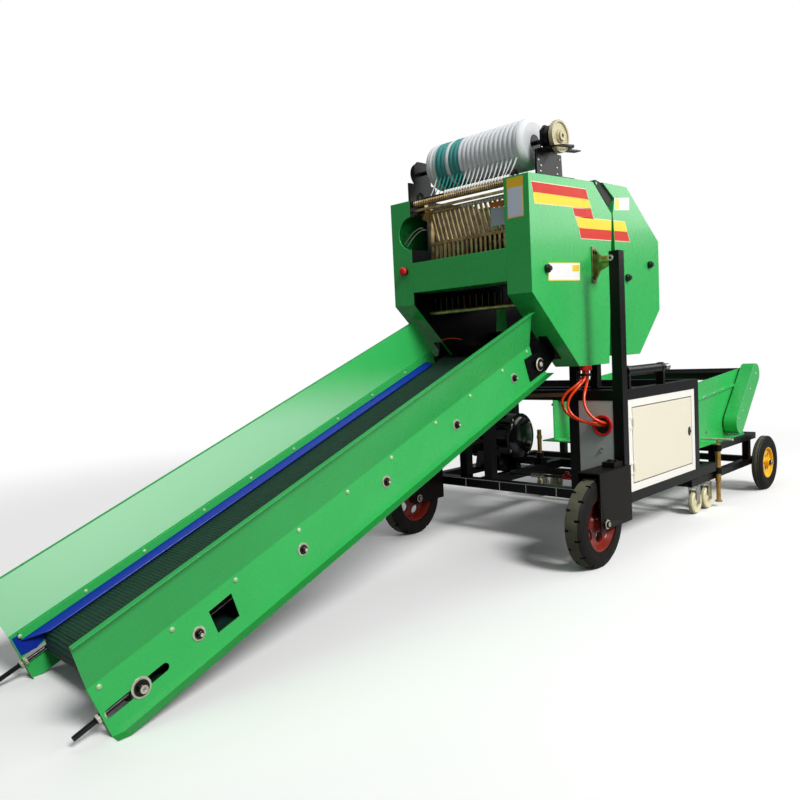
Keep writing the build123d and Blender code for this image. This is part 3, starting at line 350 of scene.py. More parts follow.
def film_x(points, thick):
    """Flat film on the outer plate, from its outline in y, z."""
    return prism(points, thick).turned(np.array([(0, 0, 1.0), (1.0, 0, 0), (0, 1.0, 0)]), at(PLATE, 0, 0))


def film_y(points, depth, thick):
    """Flat film on a face square to y, standing out to the front, from its outline in x, z."""
    return prism(points, thick).turned(np.array([(1.0, 0, 0), (0, 0, -1.0), (0, 1.0, 0)]), at(0, depth, 0))


def grown(quad, by):
    """Convex outline moved out: each side's line is shifted along its normal, and neighbours are met."""
    quad = np.asarray(quad, float)
    ahead = np.roll(quad, -1, 0) - quad
    normal = np.stack([ahead[:, 1], -ahead[:, 0]], 1) / np.linalg.norm(ahead, axis=1, keepdims=True)
    following = np.roll(quad, -1, 0)
    normal *= np.sign(np.sum(quad[:, 0] * following[:, 1] - following[:, 0] * quad[:, 1]))
    reach = np.sum(normal * quad, 1) + by
    before, reach_before = np.roll(normal, 1, 0), np.roll(reach, 1)
    return np.array([
        np.linalg.solve([a, b], [ra, rb]) for a, b, ra, rb in zip(before, normal, reach_before, reach)])


def on_body(outline, side):
    """The part of a convex outline on the fixed plates (side -1) or on the tailgate (side 1)."""
    (y0, z0), (y1, z1) = SPLIT_FRONT if side < 0 else SPLIT_REAR
    outline = np.asarray(outline, float)
    reach = side * (outline[:, 0] - y0 - (outline[:, 1] - z0) * (y1 - y0) / (z1 - z0)) - EDGE_GAP
    kept = []
    for here, there, a, b in zip(outline, np.roll(outline, -1, 0), reach, np.roll(reach, -1)):
        if a >= 0:
            kept.append(here)
        if a * b < 0:
            kept.append(here + a / (a - b) * (there - here))
    return kept


# Making pieces
def body_of(node):
    return NODES[node]["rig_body"]


def make_piece(name, surf, material, body="frame", smooth=SMOOTH_ANGLE, bevel=0.0):
    """Puts a surface into a mesh object that rides on a body."""
    mesh = bpy.data.meshes.new(name)
    mesh.vertices.add(len(surf.points))
    mesh.vertices.foreach_set("co", surf.points.astype(np.float32).ravel())
    mesh.loops.add(len(surf.corners))
    mesh.loops.foreach_set("vertex_index", surf.corners.astype(np.int32))
    mesh.polygons.add(len(surf.counts))
    starts = np.concatenate([[0], np.cumsum(surf.counts)[:-1]])
    mesh.polygons.foreach_set("loop_start", starts.astype(np.int32))
    mesh.polygons.foreach_set("loop_total", surf.counts.astype(np.int32))
    mesh.update(calc_edges=True)
    mesh.validate()
    work = bmesh.new()
    work.from_mesh(mesh)
    bmesh.ops.recalc_face_normals(work, faces=work.faces)
    work.to_mesh(mesh)
    work.free()
    return dressed(name, mesh, material, body, smooth, bevel)


def dressed(name, mesh, material, body, smooth, bevel):
    """A mesh as a piece, smooth up to an angle and with its sharper edges rolled over."""
    mesh.shade_smooth()
    mesh.set_sharp_from_angle(angle=math.radians(smooth))
    mesh.materials.append(material)
    piece = bpy.data.objects.new(name, mesh)
    bpy.context.scene.collection.objects.link(piece)
    if bevel:
        edge = piece.modifiers.new("edges", "BEVEL")
        edge.width = bevel
        edge.segments = 2
        edge.limit_method = "ANGLE"
        edge.angle_limit = math.radians(32)
    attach(piece, body)
    return piece


def eased(node, material, radius, smooth=SMOOTH_ANGLE):
    """A merged copy of a solid with its sharp edges rolled over a little, as paint and folding leave them."""
    work = bmesh.new()
    work.from_mesh(NODES[node].data)
    bmesh.ops.remove_doubles(work, verts=work.verts, dist=2e-6)
    bmesh.ops.dissolve_limit(work, angle_limit=math.radians(0.4), verts=work.verts, edges=work.edges)
    mesh = bpy.data.meshes.new(node + "_dressed")
    work.to_mesh(mesh)
    work.free()
    mesh.materials.clear()
    piece = dressed(node + "_dressed", mesh, material, body_of(node), smooth, radius)
    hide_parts(node)
    return piece


def repaint(node, material, rule):
    """Second finish on the faces of a dressed solid for which rule(normals, centres) holds."""
    mesh = bpy.data.objects[node + "_dressed"].data
    mesh.materials.append(material)
    count = len(mesh.polygons)
    normals, centres, index = np.empty(count * 3), np.empty(count * 3), np.empty(count, np.int32)
    mesh.polygons.foreach_get("normal", normals)
    mesh.polygons.foreach_get("center", centres)
    mesh.polygons.foreach_get("material_index", index)
    index[rule(normals.reshape(-1, 3), centres.reshape(-1, 3))] = len(mesh.materials) - 1
    mesh.polygons.foreach_set("material_index", index)


# Limits of the second finishes: the cabinet's rim, the chamber's inside with its mouth and roof (painted near
# black as shade), its notch
RIM_X, INSIDE_X, MOUTH_Y, ROOF_Z, NOTCH_X, NOTCH_Z = 0.594, 0.2845, FRONT + 0.06, 1.70, 0.2895, 1.7585
# Hand disc, post brackets, slats, tines, top of the jack, and the upper part and the web of a belt panel
DISC_X, BRACKET_X, SLATS_Z, TINES_Z, JACK_Z = 0.4245, 0.3125, 1.721, 1.2085, 0.389
UPPER_T, WEB_X = 0.164, 0.2975

# Second finishes: solids, finish, and the faces by their normals n and centres c
REPAINTS = (
    ("cabinet", "cream_rim", lambda n, c: c[:, 0] > RIM_X),
    # Painted shade: the chamber's inner faces, and those behind its mouth below the roof, are painted near
    # black to stand in for the shade inside it
    ("housing_near housing_far tailgate_sides", "dark_inside", lambda n, c: (abs(c[:, 0]) < INSIDE_X) & (
        (abs(n[:, 0]) > 0.9) | (c[:, 1] > MOUTH_Y) & (c[:, 2] < ROOF_Z))),
    ("housing_near housing_far", "black", lambda n, c: (abs(c[:, 0]) < NOTCH_X) & (c[:, 2] > NOTCH_Z)),
    ("net_spindle", "black", lambda n, c: c[:, 0] < DISC_X),
    ("post_brackets", "black", lambda n, c: (n[:, 1] < -0.5) & (abs(c[:, 0]) < BRACKET_X)),
    ("net_feeder", "brown", lambda n, c: c[:, 2] > SLATS_Z),
    ("infeed_comb", "bronze", lambda n, c: c[:, 2] > TINES_Z),
    ("jack", "bright", lambda n, c: c[:, 2] > JACK_Z),
    # Painted sheen: the inside of each belt panel's upper part gets a paler green that stands in for the
    # reflection there
    ("conveyor_sides", "green_hazed",
     lambda n, c: (n[:, 0] * np.sign(c[:, 0]) < -0.5) & (slope_height(c) > UPPER_T)),
    # Painted shade: the lower lip of each panel gets a deeper green that stands in for the shade on it
    ("conveyor_sides", "green_deep", lambda n, c: (abs(c[:, 0]) > WEB_X) & (slope_height(c) < 0.0)),
)


def tread_faces(tyre):
    """Rule for the faces of a tyre's running surface, without the walls of its slots."""
    low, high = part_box(tyre)
    middle, radius = (low + high) / 2, (high.z - low.z) / 2

    def rule(normals, centres):
        y, z = centres[:, 1] - middle.y, centres[:, 2] - middle.z
        r = np.hypot(y, z) + 1e-9
        round_way = abs(normals[:, 2] * y - normals[:, 1] * z) / r
        return (r > radius - 0.0085) & (round_way < 0.5) & (abs(normals[:, 0]) < 0.35)

    return rule


# Materials
COVER_SCALE = 5.0          # waves per metre: paint lies unevenly over some 200 mm
GRIME_SCALE = 26.0         # dust in patches of some 40 mm
PEEL_SCALE = 330.0         # orange peel 3 mm wide
WEAR_SCALE = 22.0          # bloom on rubber in patches of 45 mm
MOULD_SCALE = 900.0        # moulded grain 1.1 mm wide
PLATING_SCALE = 35.0       # plating tint over some 30 mm
TOOL_SCALE = 12.0          # tool marks, times TOOL_STRETCH
TOOL_STRETCH = (40.0, 40.0, 40.0)
GLOSS_SCALE = 60.0         # gloss of plastic over some 17 mm
THREAD_SCALE = 78.0        # threads of the net some 4 mm apart
KNIT_STRETCH = (160.0, 45.0, 45.0)
NET_SPAN = (-0.27, 0.31)   # x where the net's colour bands start and end
WHITE = (1.0, 1.0, 1.0, 1.0)


def linear(code):
    """Linear colour of an sRGB hex code, or of the look's colour with that name."""
    code = getattr(bpy.context.scene.baler_look, code, code)
    values = np.array([int(code[i:i + 2], 16) / 255 for i in (1, 3, 5)])
    values = np.where(values <= 0.04045, values / 12.92, ((values + 0.055) / 1.055) ** 2.4)
    return (*values, 1.0)


def shade(colour, factor):
    return (*(min(1.0, c * factor) for c in colour[:3]), 1.0)


def feed(node, inputs):
    """Fills a node's inputs, given by name or in their order. A value is set, a socket is linked,
    and a node stands for its first output."""
    for key, value in inputs.items() if isinstance(inputs, dict) else enumerate(inputs):
        if isinstance(value, bpy.types.Node):
            value = next(socket for socket in value.outputs if socket.enabled)
        if isinstance(value, bpy.types.NodeSocket):
            node.id_data.links.new(value, node.inputs[key])
        else:
            node.inputs[key].default_value = value


def add(tree, kind, inputs=(), stops=(), **settings):
    """Adds a shader node with its settings and inputs, and with its stops (place, colour) on a colour ramp.
    A MapRange takes its value, the range it comes from and the range it goes to."""
    made = tree.nodes.new("ShaderNode" + kind)
    for key, value in settings.items():
        setattr(made, key, value)
    feed(made, inputs)
    while stops and len(made.color_ramp.elements) < len(stops):
        made.color_ramp.elements.new(0.5)
    for number, (place, colour) in enumerate(stops):
        made.color_ramp.elements[number].position = place
        made.color_ramp.elements[number].color = colour
    return made


def surface(name, **values):
    """A new material, its tree, its principled shader and the socket of the Object coordinates."""
    material = bpy.data.materials.new(name)
    material.use_nodes = True
    tree = material.node_tree
    shader = tree.nodes["Principled BSDF"]
    feed(shader, {key.replace("_", " "): value for key, value in values.items()})
    return material, tree, shader, add(tree, "TexCoord").outputs["Object"]


def enamel(name, code, roughness, coat=0.10, dust="#8C8468", dirt=0.02, peel=0.05, cloud=0.04, shine=0.5,
           sheen_tone=None):
    """Enamel sprayed on sheet steel: a soft gloss with orange peel, slightly uneven cover, and a thin film
    of field dust that thickens toward the ground. With a second colour given, a paler green covers the lower
    part as a painted sheen, standing in for the pale reflection on the inside of the belt's panels."""
    material, tree, shader, where = surface(
        name, Coat_Weight=coat, Coat_Roughness=0.12, IOR=1.5, Specular_IOR_Level=shine)
    cover = add(tree, "TexNoise", {"Vector": where, "Scale": COVER_SCALE, "Detail": 4.0, "Roughness": 0.55})
    grime = add(tree, "TexNoise", {"Vector": where, "Scale": GRIME_SCALE, "Detail": 6.0, "Roughness": 0.7})
    height = add(tree, "SeparateXYZ", [where]).outputs["Z"]
    thin, full = shade(linear(code), 1 - cloud), shade(linear(code), 1 + cloud)
    base = add(tree, "ValToRGB", [cover], [(0.32, thin), (0.68, full)])
    # Painted sheen: a paler colour mixed in toward the bottom, standing in for a reflection
    if sheen_tone:
        sheen_weight = add(tree, "MapRange", (height, 0.70, 0.97, 1.0, 0.0), interpolation_type="SMOOTHSTEP")
        base = add(tree, "Mix", {"Factor": sheen_weight, "A": base, "B": linear(sheen_tone)}, data_type="RGBA")
    low = add(tree, "MapRange", (height, 0.0, 0.9, 1.0, 0.25))
    film = add(tree, "MapRange", (grime, 0.45, 0.85, 0.0, dirt))
    weight = add(tree, "Math", (low, film), operation="MULTIPLY")
    skin = add(tree, "TexNoise", {"Vector": where, "Scale": PEEL_SCALE, "Detail": 1.0})
    feed(shader, {
        "Base Color": add(tree, "Mix", {"Factor": weight, "A": base, "B": linear(dust)}, data_type="RGBA"),
        "Roughness": add(tree, "MapRange", (grime, 0.3, 0.8, roughness - 0.02, roughness + 0.03)),
        "Normal": add(tree, "Bump", {"Height": skin, "Strength": peel, "Distance": 0.0006})})
    return material


def metal(name, code, roughness, tint=None, share=1.0):
    """Bare or plated steel: tool marks as stretched noise in the roughness, a plating tint that wanders."""
    material, tree, shader, where = surface(name, Metallic=share)
    marks = add(tree, "Mapping", {"Vector": where, "Scale": TOOL_STRETCH})
    grain = add(tree, "TexNoise", {"Vector": marks, "Scale": TOOL_SCALE, "Detail": 5.0, "Roughness": 0.65})
    cloud = add(tree, "TexNoise", {"Vector": where, "Scale": PLATING_SCALE, "Detail": 4.0})
    other = linear(tint) if tint else shade(linear(code), 0.72)
    feed(shader, {
        "Base Color": add(tree, "ValToRGB", [cloud], [(0.35, linear(code)), (0.70, other)]),
        "Roughness": add(tree, "MapRange", (grain, 0.3, 0.7, roughness - 0.10, roughness + 0.10))})
    return material


def rubber(name, code, roughness, dust, dirt, shine=0.5):
    """Vulcanised rubber: matt, with a bloom of grey dust in patches and a fine moulded grain."""
    material, tree, shader, where = surface(name, Roughness=roughness, IOR=1.52, Specular_IOR_Level=shine)
    cloud = add(tree, "TexNoise", {"Vector": where, "Scale": WEAR_SCALE, "Detail": 6.0, "Roughness": 0.7})
    weight = add(tree, "MapRange", (cloud, 0.42, 0.75, 0.0, dirt))
    colours = {"Factor": weight, "A": linear(code), "B": linear(dust)}
    skin = add(tree, "TexNoise", {"Vector": where, "Scale": MOULD_SCALE, "Detail": 2.0})
    feed(shader, {
        "Base Color": add(tree, "Mix", colours, data_type="RGBA"),
        "Normal": add(tree, "Bump", {"Height": skin, "Strength": 0.25, "Distance": 0.0004})})
    return material


def plastic(name, code, roughness, shine=0.5):
    """Moulded or extruded plastic: even colour, a faint cloud in its gloss."""
    material, tree, shader, where = surface(
        name, IOR=1.49, Specular_IOR_Level=shine, Base_Color=linear(code))
    cloud = add(tree, "TexNoise", {"Vector": where, "Scale": GLOSS_SCALE, "Detail": 3.0})
    gloss = add(tree, "MapRange", (cloud, 0.3, 0.7, roughness - 0.06, roughness + 0.08))
    feed(shader, {"Roughness": gloss})
    return material


def knitted_net(name):
    """Knitted polyethylene net wound in layers: rows of threads 4 mm apart round the roll, drawn coarser than
    the real 2 mm so that they show, with two coloured marker bands near the far end."""
    material, tree, shader, where = surface(name, Roughness=0.55, IOR=1.5)
    teal = linear("#2C9F98")
    along = add(tree, "SeparateXYZ", [where]).outputs["X"]
    bands = add(tree, "ValToRGB", [add(tree, "MapRange", (along, *NET_SPAN))], [
        (0.0, linear("#F2F5F5")), (0.125, teal), (0.232, linear("#F2F5F5")),
        (0.272, teal), (0.380, linear("#F0F3F6")), (0.935, linear("#F8F8F8"))])
    bands.color_ramp.interpolation = "CONSTANT"
    thread = add(tree, "TexWave", {
        "Vector": where, "Scale": THREAD_SCALE, "Distortion": 1.2, "Detail": 2.0, "Detail Scale": 3.0},
        bands_direction="X")
    marks = add(tree, "Mapping", {"Vector": where, "Scale": KNIT_STRETCH})
    knit = add(tree, "TexNoise", {"Vector": marks, "Scale": 3.0, "Detail": 3.0})
    dark = add(tree, "Math", (thread.outputs["Fac"], knit), operation="MULTIPLY")
    # Painted shade: a blue grey between the threads, where the layers below lie in shade
    gap_shade = add(tree, "MapRange", (dark, 0.0, 0.5, 0.34, 0.0))
    feed(shader, {
        "Base Color": add(tree, "Mix", {"Factor": gap_shade, "A": bands, "B": linear("#6F7C86")}, data_type="RGBA"),
        "Normal": add(tree, "Bump", {"Height": dark, "Strength": 0.6, "Distance": 0.001})})
    return material


# Kind, key, name, colour as sRGB hex or by its name in the look, roughness, and what else differs
FINISHES = (
    # Clean, even green with a soft gloss; paler inside the belt's panels as a painted sheen, and deeper on
    # the panels' lower lips as painted shade
    (enamel, "green", "sprayed_green_enamel", "green", 0.28, {"coat": 0.25, "peel": 0.015}),
    (enamel, "green_hazed", "sprayed_green_enamel_painted_sheen", "green", 0.32,
     {"coat": 0.20, "peel": 0.015, "sheen_tone": "green_hazed"}),
    (enamel, "green_deep", "sprayed_green_enamel_painted_shade", "green_deep", 0.34,
     {"coat": 0.15, "dirt": 0.06}),
    # Blacks that are told apart by their shine: frame, motor, wheel boxes, and the chamber's inside, which is
    # painted near black as shade
    (enamel, "black", "sprayed_black_enamel", "#050506", 0.34,
     {"coat": 0.0, "dust": "#55534A", "dirt": 0.05, "shine": 0.22}),
    (enamel, "gloss_black", "gloss_black_enamel", "#040404", 0.14,
     {"coat": 0.15, "dust": "#55534A", "dirt": 0.03, "shine": 0.4}),
    (enamel, "box_black", "matt_brown_black_enamel", "#15110E", 0.44,
     {"coat": 0.0, "dust": "#5A5248", "dirt": 0.06, "shine": 0.16}),
    (enamel, "dark_inside", "chamber_inside_painted_shade", "#0F110F", 0.42,
     {"coat": 0.0, "dust": "#4A4A40", "dirt": 0.12, "shine": 0.2}),
    # Warm, dull cabinet colours with no visible cloud; the cabinet is white, and its pale grey on the walls
    # away from the door is painted shade
    (enamel, "cream", "powder_coat_cream", "#F1E9D2", 0.42, {"dust": "#A39A80", "cloud": 0.012}),
    (enamel, "cream_rim", "powder_coat_pale_cream", "#FAF7EE", 0.42, {"dust": "#A39A80", "cloud": 0.012}),
    (enamel, "grey", "powder_coat_grey_painted_shade", "#C2C5C2", 0.40, {"dirt": 0.05, "cloud": 0.02}),
    # Rims: dark glossy red in front, bright yellow behind
    (enamel, "red_rim", "wheel_enamel_red", "#7E2519", 0.24,
     {"coat": 0.15, "dust": "#5A4A40", "dirt": 0.15, "shine": 0.35}),
    (enamel, "yellow_rim", "wheel_enamel_yellow", "#FFC21A", 0.32, {"coat": 0.2, "dirt": 0.04}),
    # Pulley of the net's spindle: dull beige, darker in its dust
    (enamel, "beige", "turned_pulley_beige", "#C2B88E", 0.34,
     {"coat": 0.15, "dust": "#7A7458", "dirt": 0.12}),
    # Small bright plastics, smooth and clean
    (plastic, "red", "moulded_red_plastic", "#D8201A", 0.25, {}),
    (plastic, "hose", "polyurethane_hose_orange", "#F2440F", 0.22, {}),
    (plastic, "black_plastic", "moulded_black_nylon", "#080809", 0.30, {}),
    (plastic, "nylon", "cast_nylon_cream", "#E9E0B6", 0.35, {}),
    (plastic, "bead", "moulded_white_nylon", "#F7F6F2", 0.40, {}),
    # Vinyl films: flat colour with a faint sheen
    (plastic, "card", "vinyl_label_white", "#FAFBF6", 0.35, {}),
    (plastic, "label_yellow", "vinyl_label_yellow", "#F6D83A", 0.35, {}),
    (plastic, "label_gold", "vinyl_label_gold", "#FFCB30", 0.35, {}),
    (plastic, "label_orange", "vinyl_label_orange", "#F08A28", 0.35, {}),
    (plastic, "label_blue", "vinyl_label_pale_blue", "#DCE6F6", 0.35, {}),
    (plastic, "stripe_red", "vinyl_stripe_red", "red", 0.42, {"shine": 0.2}),
    (plastic, "stripe_yellow", "vinyl_stripe_yellow", "yellow", 0.42, {"shine": 0.2}),
    (plastic, "outline", "vinyl_stripe_edge_cream", "#F3E6C0", 0.38, {}),
    # Dull pale marks, which also paint a highlight along the lower beam's top edge, and tape
    (plastic, "chalk", "pale_marks_and_painted_highlight", "#C9CBC8", 0.7, {}),
    (plastic, "kraft", "kraft_tape_tan", "#7E6042", 0.6, {}),
    # Skirts with a slight shine, a dusty green belt, and tyres that wear pale on their treads
    (plastic, "blue", "rubber_skirt_blue", "#0B2FA0", 0.36, {}),
    (rubber, "belt", "pvc_belt_dark_green", "#0B2E23", 0.55, {"dust": "#2A6650", "dirt": 0.16}),
    (rubber, "tyre", "vulcanised_tyre_rubber", "#0F0D0A", 0.66,
     {"dust": "#46423A", "dirt": 0.14, "shine": 0.2}),
    (rubber, "tread", "worn_tread_rubber", "#5E5D4C", 0.74,
     {"dust": "#7A7866", "dirt": 0.30, "shine": 0.25}),
    # Zinc, passivated in yellow, brown and olive: reflections broken by a tint that wanders
    (metal, "zinc", "yellow_zinc_passivated_steel", "#D2BB88", 0.40, {"tint": "#94794A"}),
    (metal, "brown", "brown_zinc_plated_rods", "#7C6C50", 0.38, {"tint": "#4A3E2E"}),
    (metal, "olive", "olive_zinc_passivated_steel", "#A9A46A", 0.36, {"tint": "#6E7040"}),
    (metal, "gold", "yellow_zinc_jack_tube", "#C9A050", 0.36, {"tint": "#8E6A30", "share": 0.7}),
    # Pale and bright metals: small highlights on bolts, washers and rods
    (metal, "bolt_green", "green_sprayed_bolt_heads", "#BAD6A6", 0.36, {"tint": "#8FBF86", "share": 0.2}),
    (metal, "tin", "bright_zinc_plated_steel", "#CFCFC8", 0.26, {"tint": "#A6A49A"}),
    (metal, "steel", "turned_bright_steel", "#C6C3B8", 0.22, {}),
    (metal, "bright", "pale_zinc_washers", "#D9D5C6", 0.36, {"tint": "#B9B29A", "share": 0.35}),
    (metal, "brass", "turned_brass", "#CDB06A", 0.28, {"tint": "#A08040", "share": 0.8}),
    # Dark metals: dim, broad reflections
    (metal, "bronze", "dark_bronzed_tines", "#5A4A34", 0.45, {"tint": "#2E261A"}),
    (metal, "dark_steel", "oiled_rolled_steel", "#4C4A48", 0.38, {"tint": "#2E2C2A"}),
    # Loose strands of the net, pale with a soft sheen
    (plastic, "strand", "knitted_net_strand", "#E8ECEE", 0.5, {}),
    (plastic, "strand_teal", "knitted_net_strand_teal", "#2C9F98", 0.5, {}),
)


@functools.cache
def finishes():
    """Every finish by its key, made on first use."""
    made = {key: kind(name, code, roughness, **more) for kind, key, name, code, roughness, more in FINISHES}
    return SimpleNamespace(net=knitted_net("knitted_net_roll"), **made)


# Settings
class BalerLook(bpy.types.PropertyGroup):
    """Colours that a user would change, as sRGB hex."""

    green: StringProperty(
        name="Sheet green", description="Enamel of the sheet metal, sRGB hex", default="#33B959")
    # Painted sheen: this paler green stands in for the reflection on the inside of the belt's panels
    green_hazed: StringProperty(
        name="Hazed green", description="Inside of the belt's panels, sRGB hex", default="#8CCF9C")
    # Painted shade: this deeper green stands in for the shade on the belt panels' lower lips; it is not dirt
    green_deep: StringProperty(
        name="Green below", description="The same enamel where it lies in the dirt, sRGB hex",
        default="#168A3A")
    red: StringProperty(name="Stripe red", description="Red stripes, sRGB hex", default="#D62C1A")
    yellow: StringProperty(name="Stripe yellow", description="Yellow stripes, sRGB hex", default="#FFDC38")


class BalerSizes(bpy.types.PropertyGroup):
    """Sizes of the detailed pieces."""

    rib_pitch: FloatProperty(
        name="Rib pitch", description="From one cross rib of the belt to the next", default=0.0135,
        unit="LENGTH")
    rib_height: FloatProperty(
        name="Rib height", description="Height of a cross rib", default=0.0036, unit="LENGTH")
    net_ridges: IntProperty(name="Net ridges", description="Ridges along the net roll", default=22)
    edge: FloatProperty(
        name="Edge radius", description="Rounding of painted edges", default=0.0014, unit="LENGTH")


class BalerStage(bpy.types.PropertyGroup):
    """Floor, light and view."""

    key_strength: FloatProperty(name="Key light", description="Strength of the sun lamp", default=2.35)
    sky_strength: FloatProperty(
        name="Sky light", description="Strength of the pale surroundings", default=0.17)
    key_angle: FloatProperty(
        name="Key softness", description="Angular size of the sun lamp", default=math.radians(16),
        subtype="ANGLE")
    floor: FloatVectorProperty(
        name="Floor", description="Floor colour", default=(1.0, 0.995, 0.985), size=3, subtype="COLOR")


# Pieces
class BALER_OT_solids(bpy.types.Operator):
    """Gives every solid its finish, with rolled edges on painted and folded ones"""

    bl_idname = "baler.solids"
    bl_label = "Finish on the solids"

    def execute(self, context):
        f = finishes()
        edge = context.scene.baler_sizes.edge
        for key, nodes in SOLIDS.items():
            for node in nodes.split():
                eased(node, getattr(f, key), edge, SHEET_ANGLE if node in SHEETS else SMOOTH_ANGLE)
        for node in NODES:
            if node.startswith("caster_fork"):
                eased(node, f.tin, edge * 0.6)
            if node.startswith("caster_wheel"):
                eased(node, f.nylon, edge)
            if "tyre" in node:
                eased(node, f.tyre, edge * 1.6)
                repaint(node, f.tread, tread_faces(node))
        for nodes, key, rule in REPAINTS:
            for node in nodes.split():
                repaint(node, getattr(f, key), rule)
        return {"FINISHED"}


class BALER_OT_belt(bpy.types.Operator):
    """Feed belt as one closed loop with fine cross ribs"""

    bl_idname = "baler.belt"
    bl_label = "Feed belt"

    def execute(self, context):
        sizes = context.scene.baler_sizes
        loop = belt_loop(sizes.rib_pitch, sizes.rib_height, BELT_HALF, BELT_THICK)
        piece = make_piece("belt_loop", loop, finishes().belt, smooth=60)
        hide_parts("conveyor_belt")
        return {"FINISHED"}


def belt_loop(pitch, height, half, thick, columns=26):
    """The loop is a line between the drum centres, grown by a distance d square to it: P = centre + d n.
    Outside, d is drum + thickness + height times a raised cosine of the way along over the pitch,
    and the cosine's phase wanders a little across the belt."""
    run = HEAD_S - TAIL_S
    radius = DRUM_R + thick
    arc = math.pi * radius
    way = np.arange(0.0, 2 * (run + arc), pitch / 6)
    zero = 0 * way
    parts = [way < run, way < run + arc, way < 2 * run + arc]
    turns = [zero, (way - run) / radius, np.pi + zero]
    turn = np.select(parts, turns, np.pi + (way - 2 * run - arc) / radius)
    s = np.select(parts, [TAIL_S + way, HEAD_S + zero, HEAD_S - (way - run - arc)], TAIL_S)
    x = np.linspace(-half, half, columns)
    wander = 0.4 * np.sin(x * 40.0) + 0.22 * np.random.default_rng(4).standard_normal(columns)
    rib = (0.5 + 0.5 * np.cos(2 * np.pi * way[:, None] / pitch + wander[None])) ** 1.3
    inner = np.full((len(way), 2), DRUM_R + 0.0004)
    d = np.concatenate([radius + height * rib, inner], 1)
    across = np.concatenate([x, [half, -half]])
    lift = DRUM_T + d * np.cos(turn)[:, None]
    return grid(slope_point(across[None] + 0 * d, s[:, None] + d * np.sin(turn)[:, None], lift), ring_u=True)


# Corner flap of a skirt at the tail, and the edge of the flap over the belt's head
SKIRT_CORNER = (
    (0.006, 0.148), (0.006, 0.080), (0.058, 0.071), (0.100, 0.086), (0.108, 0.112), (0.040, 0.129),
    (0.031, 0.148))
FLAP_X, FLAP_Y, FLAP_Z = (-0.274, -0.125), 0.175, 1.050
FLAP_RISE, FLAP_MIDDLE, FLAP_HALF = 0.013, -0.195, 0.078


class BALER_OT_conveyor(bpy.types.Operator):
    """Bolts, washers, bearings and threads on the belt's side panels"""

    bl_idname = "baler.conveyor"
    bl_label = "Feed conveyor fittings"

    def execute(self, context):
        f = finishes()
        on_panel = [slope_point(PANEL, s, ROLLER_T) for s in ROLLER_S]
        on_boss = [slope_point(PANEL + 0.0078, s, ROLLER_T) for s in ROLLER_S]
        outside = [slope_point(PANEL, s, BOLT_T) for s in BOLT_S]
        inside = [slope_point(PANEL - 0.013, s, BOLT_T) for s in BOLT_S[:-1]]
        washers = repeated(ring(0.0155, 0.0225, 0, 0.0025, 32), on_panel)
        nuts = repeated(hex_nut(0.0125, 0.002), on_boss)
        ends = repeated(disc(0.0058, 0, 0.0122, 14), on_boss)
        domes = repeated(dome_bolt(0.0090), outside)
        heads = repeated(dome_bolt(0.0075), inside, -OUT)
        make_piece("roller_washers", washers.paired(), f.bright, bevel=0.0005)
        make_piece("roller_nuts", nuts.paired(), f.dark_steel, smooth=20, bevel=0.0004)
        make_piece("roller_ends", ends.paired(), f.bright, bevel=0.0004)
        make_piece("panel_bolts", domes.paired() + heads.paired(), f.bolt_green)
        # Tail: bright ring and dark bearing over the tensioner's end, threads and nuts on the rods
        tail = slope_point(PANEL, TAIL_S, DRUM_T)
        cover = ring(0.0222, 0.0310, 0, 0.0032, 40).aimed(tail)
        seal = ring(0.0125, 0.0240, 0.004, 0.0062, 36).aimed(tail)
        end = ring(0.0060, 0.0122, 0.020, 0.0212, 28).aimed(tail)
        make_piece("tail_rings", cover.paired(), f.bright, bevel=0.0006)
        make_piece("tail_seals", seal.paired(), f.black_plastic, bevel=0.0004)
        make_piece("tail_shaft_ends", end.paired(), f.bright)
        turns = np.arange(36)
        thread = lathe(np.stack([np.where(turns % 2, 0.0084, 0.0074), turns * 0.002], 1), 18)
        threads = repeated(thread, [slope_point(x, -0.014, DRUM_T) for x in TENSION_X], -UPHILL)
        make_piece("tension_threads", threads, f.black_plastic, smooth=25)
        nut = lathe([(0.0150, 0), (0.0150, 0.0090), (0.0130, 0.0100)], 6)
        spots = [slope_point(x, s, DRUM_T) for x in TENSION_X for s in (-0.0125, 0.0035)]
        make_piece("tension_nuts", repeated(nut, spots, UPHILL), f.bright, smooth=20, bevel=0.0005)
        # First piece of the lower lip, up to the panel's end
        low = slope_point(PANEL, 0.0, -0.008)
        along = slope_point(PANEL, 0.034, -0.020) - low
        along /= np.linalg.norm(along)
        turn = np.stack([along, OUT, np.cross(along, OUT)], 1)
        lip = prism(rect(0, 0.036, 0, 0.033), 0.002).turned(turn, low + (0, 0, 0.0025))
        # Its deeper green is painted shade, as on the rest of the lower lip
        make_piece("lip_ends", lip.paired(), f.green_deep, bevel=0.0005)
        # Corner flap of each skirt, flat on the panel
        flap = np.array([slope_point(0.0034 - PANEL, s, t) for s, t in SKIRT_CORNER])
        flap = grid(np.stack([flap, flap + (0.002, 0, 0)]))
        make_piece("skirt_corners", flap.paired(), f.blue, bevel=0.0005)
        # Head: flange bearing with its collar and shaft end
        head = slope_point(PANEL + 0.020, HEAD_S, DRUM_T)
        collar = lathe([(0.017, 0), (0.031, 0), (0.031, 0.002), (0.026, 0.0045), (0.017, 0.0045)], 36, True)
        bearing = (collar + hex_bolt(0.013)).aimed(head)
        seal = ring(0.013, 0.0262, 0, 0.0052, 32).aimed(head)
        make_piece("head_bearings", bearing.paired(), f.bright, smooth=20, bevel=0.0004)
        make_piece("head_seals", seal.paired(), f.black_plastic)
        # Orange edge of the flap over the belt's head, in a low parabola
        x = np.linspace(*FLAP_X, 13)
        z = FLAP_Z + FLAP_RISE * (1 - ((x - FLAP_MIDDLE) / FLAP_HALF) ** 2)
        edge = sweep(np.stack([x, FRONT + FLAP_Y + 0 * x, z], 1), circle(0.0032, 10))
        make_piece("flap_edge", edge, f.hose)
        return {"FINISHED"}


